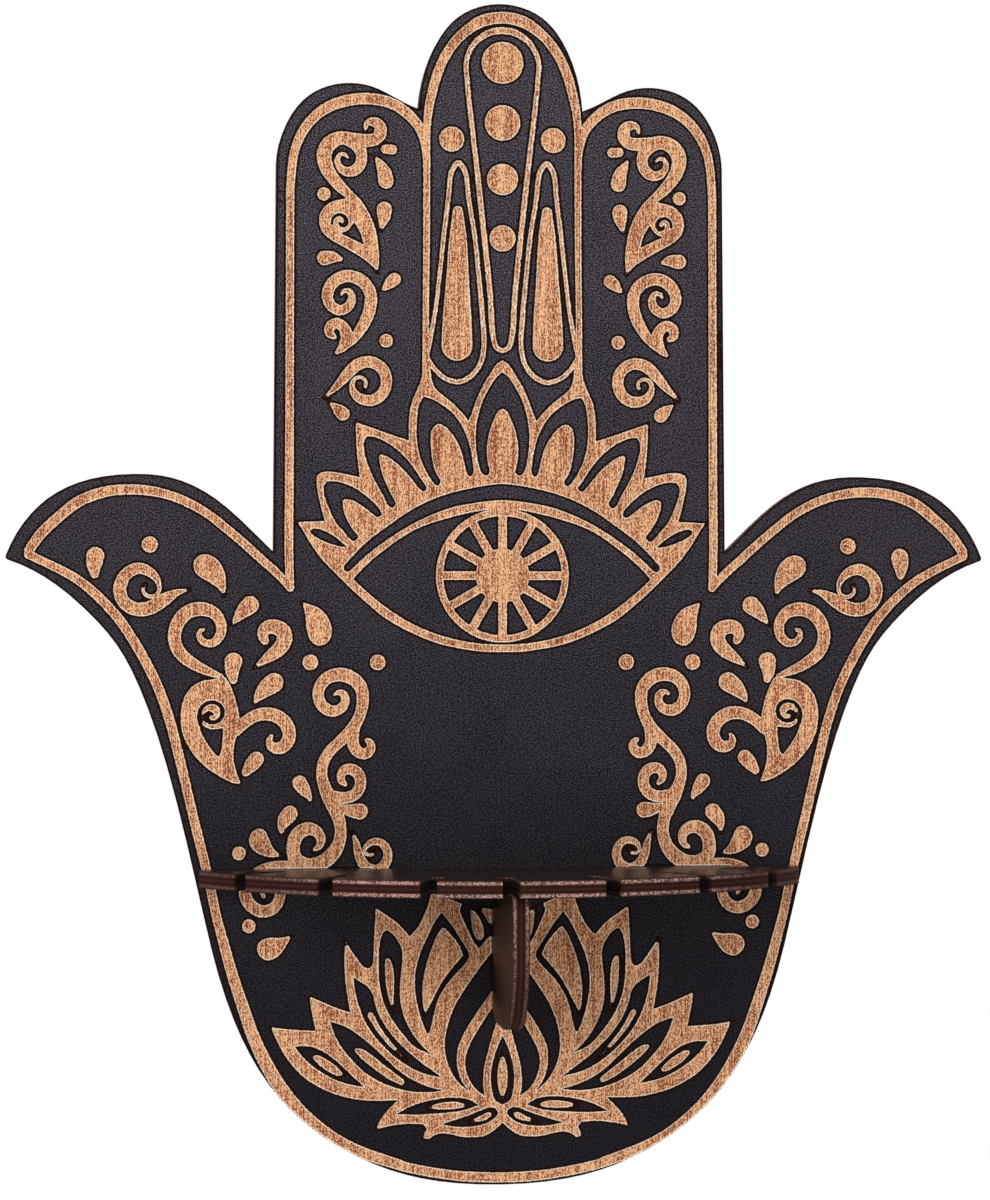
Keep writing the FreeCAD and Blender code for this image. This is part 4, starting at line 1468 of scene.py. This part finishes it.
def screw_tree(pattern, material):
    """Geometry nodes that set the pattern screw on every point they are given."""
    tree = bpy.data.node_groups.new("screws_at_points", "GeometryNodeTree")
    tree.interface.new_socket("Geometry", in_out="INPUT", socket_type="NodeSocketGeometry")
    values = {}
    for name, kind, value in (
        ("Screw", "NodeSocketObject", pattern),
        ("Brass", "NodeSocketMaterial", material),
        ("Turn between screws", "NodeSocketFloat", TURN_BETWEEN),
    ):
        socket = tree.interface.new_socket(name, in_out="INPUT", socket_type=kind)
        values[socket.identifier] = value
    tree.interface.new_socket("Geometry", in_out="OUTPUT", socket_type="NodeSocketGeometry")

    def add(kind, options=None, sources=None):
        """A node with its options, whose inputs are linked to the sources."""
        node = tree.nodes.new(kind)
        for option, value in (options or {}).items():
            setattr(node, option, value)
        for name, source in (sources or {}).items():
            tree.links.new(source, node.inputs[name])
        return node.outputs

    given = add("NodeGroupInput")
    index = add("GeometryNodeInputIndex")[0]
    turn = add("ShaderNodeMath", {"operation": "MULTIPLY"}, {0: index, 1: given["Turn between screws"]})
    points = add("GeometryNodeMeshToPoints", sources={"Mesh": given["Geometry"]})
    screw = add("GeometryNodeObjectInfo", sources={"Object": given["Screw"]})
    turns = add("ShaderNodeCombineXYZ", sources={"Y": turn[0]})
    screws = add("GeometryNodeInstanceOnPoints", sources={
        "Points": points[0], "Instance": screw["Geometry"], "Rotation": turns[0],
    })
    real = add("GeometryNodeRealizeInstances", sources={0: screws[0]})
    painted = add("GeometryNodeSetMaterial", sources={"Geometry": real[0], "Material": given["Brass"]})
    add("NodeGroupOutput", sources={0: painted[0]})
    return tree, values


class HANDSHELF_OT_screws(bpy.types.Operator):
    """Make the hanger's two screws"""

    bl_idname = "hand_shelf.screws"
    bl_label = "Screws"

    def execute(self, context):
        nodes = ("hanger_screw_left", "hanger_screw_right")
        boxes = [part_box(node) for node in nodes]
        brass = brass_material("screw_brass")
        pattern = screw_object(boxes[0][0].y, boxes[0][1].y, brass)
        tree, values = screw_tree(pattern, brass)
        mesh = bpy.data.meshes.new("screw_places")
        places = [((low.x + high.x) / 2, 0, (low.z + high.z) / 2) for low, high in boxes]
        mesh.from_pydata(places, [], [])
        carrier = bpy.data.objects.new("screw_places", mesh)
        context.scene.collection.objects.link(carrier)
        modifier = carrier.modifiers.new("screws", "NODES")
        modifier.node_group = tree
        for identifier, value in values.items():
            modifier[identifier] = value
        context.view_layer.update()
        evaluated = carrier.evaluated_get(context.evaluated_depsgraph_get())
        result = bpy.data.meshes.new_from_object(evaluated)
        screws = bpy.data.objects.new("hanger_screws", result)
        context.scene.collection.objects.link(screws)
        for spare in (carrier, pattern):
            bpy.data.objects.remove(spare)
        as_piece(screws, "screw_steel", *nodes)
        return {"FINISHED"}


# The camera, fitted to the photo: focal length in millimetres, place in metres and turn.
CAMERA_LENS = 109.03
CAMERA_PLACE = (-0.1047, -0.9239, -0.1036)
CAMERA_TURN = (math.radians(90.372), 0, math.radians(-6.42))

# Each lamp's name, place and size in metres, and the place that all of them are aimed at.
LAMPS = (
    ("key", (-0.72, -0.78, 0.16), 0.7),
    ("fill", (0.45, -1.0, -0.4), 0.7),
    ("top", (0.05, -0.5, 0.8), 0.6),
)
LAMP_AIM = Vector((0, 0, -0.1))
FLOOR_GREY = (0.8, 0.8, 0.8)


class HANDSHELF_OT_stage(bpy.types.Operator):
    """Set the camera, the lamps, the world and the floor"""

    bl_idname = "hand_shelf.stage"
    bl_label = "Stage"

    def execute(self, context):
        stage, scene = settings().stage, context.scene
        camera = bpy.data.objects.new("camera", bpy.data.cameras.new("camera"))
        camera.data.lens = CAMERA_LENS
        camera.location = CAMERA_PLACE
        camera.rotation_euler = CAMERA_TURN
        scene.collection.objects.link(camera)
        scene.camera = camera
        for name, place, size in LAMPS:
            data = bpy.data.lights.new(name, "AREA")
            data.size, data.energy = size, getattr(stage, f"{name}_power")
            lamp = bpy.data.objects.new(name, data)
            lamp.location = place
            lamp.rotation_euler = (LAMP_AIM - lamp.location).to_track_quat("-Z", "Y").to_euler()
            scene.collection.objects.link(lamp)
        self.light_world(scene, stage)
        self.lay_floor(scene, stage)
        scene.view_settings.view_transform = "Standard"
        return {"FINISHED"}

    def light_world(self, scene, stage):
        """Even light from all round, seen as white."""
        world = bpy.data.worlds.new("studio")
        scene.world = world
        world.use_nodes = True
        nodes = Nodes(world.node_tree)
        nodes.tree.nodes.clear()
        values = {"Color": (1, 1, 1), "Strength": stage.world_strength}
        even = nodes.node("ShaderNodeBackground", values=values)
        surface = nodes.white_when_seen("ShaderNodeBackground", even)
        nodes.node("ShaderNodeOutputWorld", values={"Surface": surface})

    def lay_floor(self, scene, stage):
        """A plain pale floor well below the hanging hand."""
        paint = Paint("pale_floor")
        material = paint.finish(FLOOR_GREY, 1.0)
        matte = Number(paint, paint.shader.outputs[0])
        surface = paint.white_when_seen("ShaderNodeEmission", matte)
        paint.feed(paint.tree.nodes["Material Output"].inputs["Surface"], surface)
        level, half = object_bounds()[0][2] - stage.floor_drop, stage.floor_size / 2
        mesh = bpy.data.meshes.new("floor")
        corners = [(x * half, y * half, level) for x, y in ((-1, -1), (1, -1), (1, 1), (-1, 1))]
        mesh.from_pydata(corners, [], [range(4)])
        mesh.materials.append(material)
        floor = bpy.data.objects.new("floor", mesh)
        scene.collection.objects.link(floor)
        floor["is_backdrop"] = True


class HANDSHELF_PT_panel(bpy.types.Panel):
    """Buttons for the hand shelf's pieces"""

    bl_idname = "HANDSHELF_PT_panel"
    bl_label = "Hand Shelf"
    bl_space_type = "VIEW_3D"
    bl_region_type = "UI"
    bl_category = "Hand Shelf"

    def draw(self, context):
        for step in STEPS:
            self.layout.operator(step.bl_idname)


STEPS = (
    HANDSHELF_OT_board, HANDSHELF_OT_shelf, HANDSHELF_OT_bracket,
    HANDSHELF_OT_hanger, HANDSHELF_OT_screws, HANDSHELF_OT_stage,
)
CLASSES = (
    EngravingSettings, PlySettings, HardwareSettings, ColourSettings, StageSettings,
    HandShelfSettings, *STEPS, HANDSHELF_PT_panel,
)


def register():
    for each in CLASSES:
        bpy.utils.register_class(each)
    bpy.types.Scene.hand_shelf = PointerProperty(type=HandShelfSettings)


def unregister():
    del bpy.types.Scene.hand_shelf
    for each in reversed(CLASSES):
        bpy.utils.unregister_class(each)


def main():
    for name in ("Cube", "Light", "Camera"):
        if name in bpy.data.objects:
            bpy.data.objects.remove(bpy.data.objects[name])
    register()
    for step in STEPS:
        group, name = step.bl_idname.split(".")
        getattr(getattr(bpy.ops, group), name)()


if __name__ == "__main__":
    main()
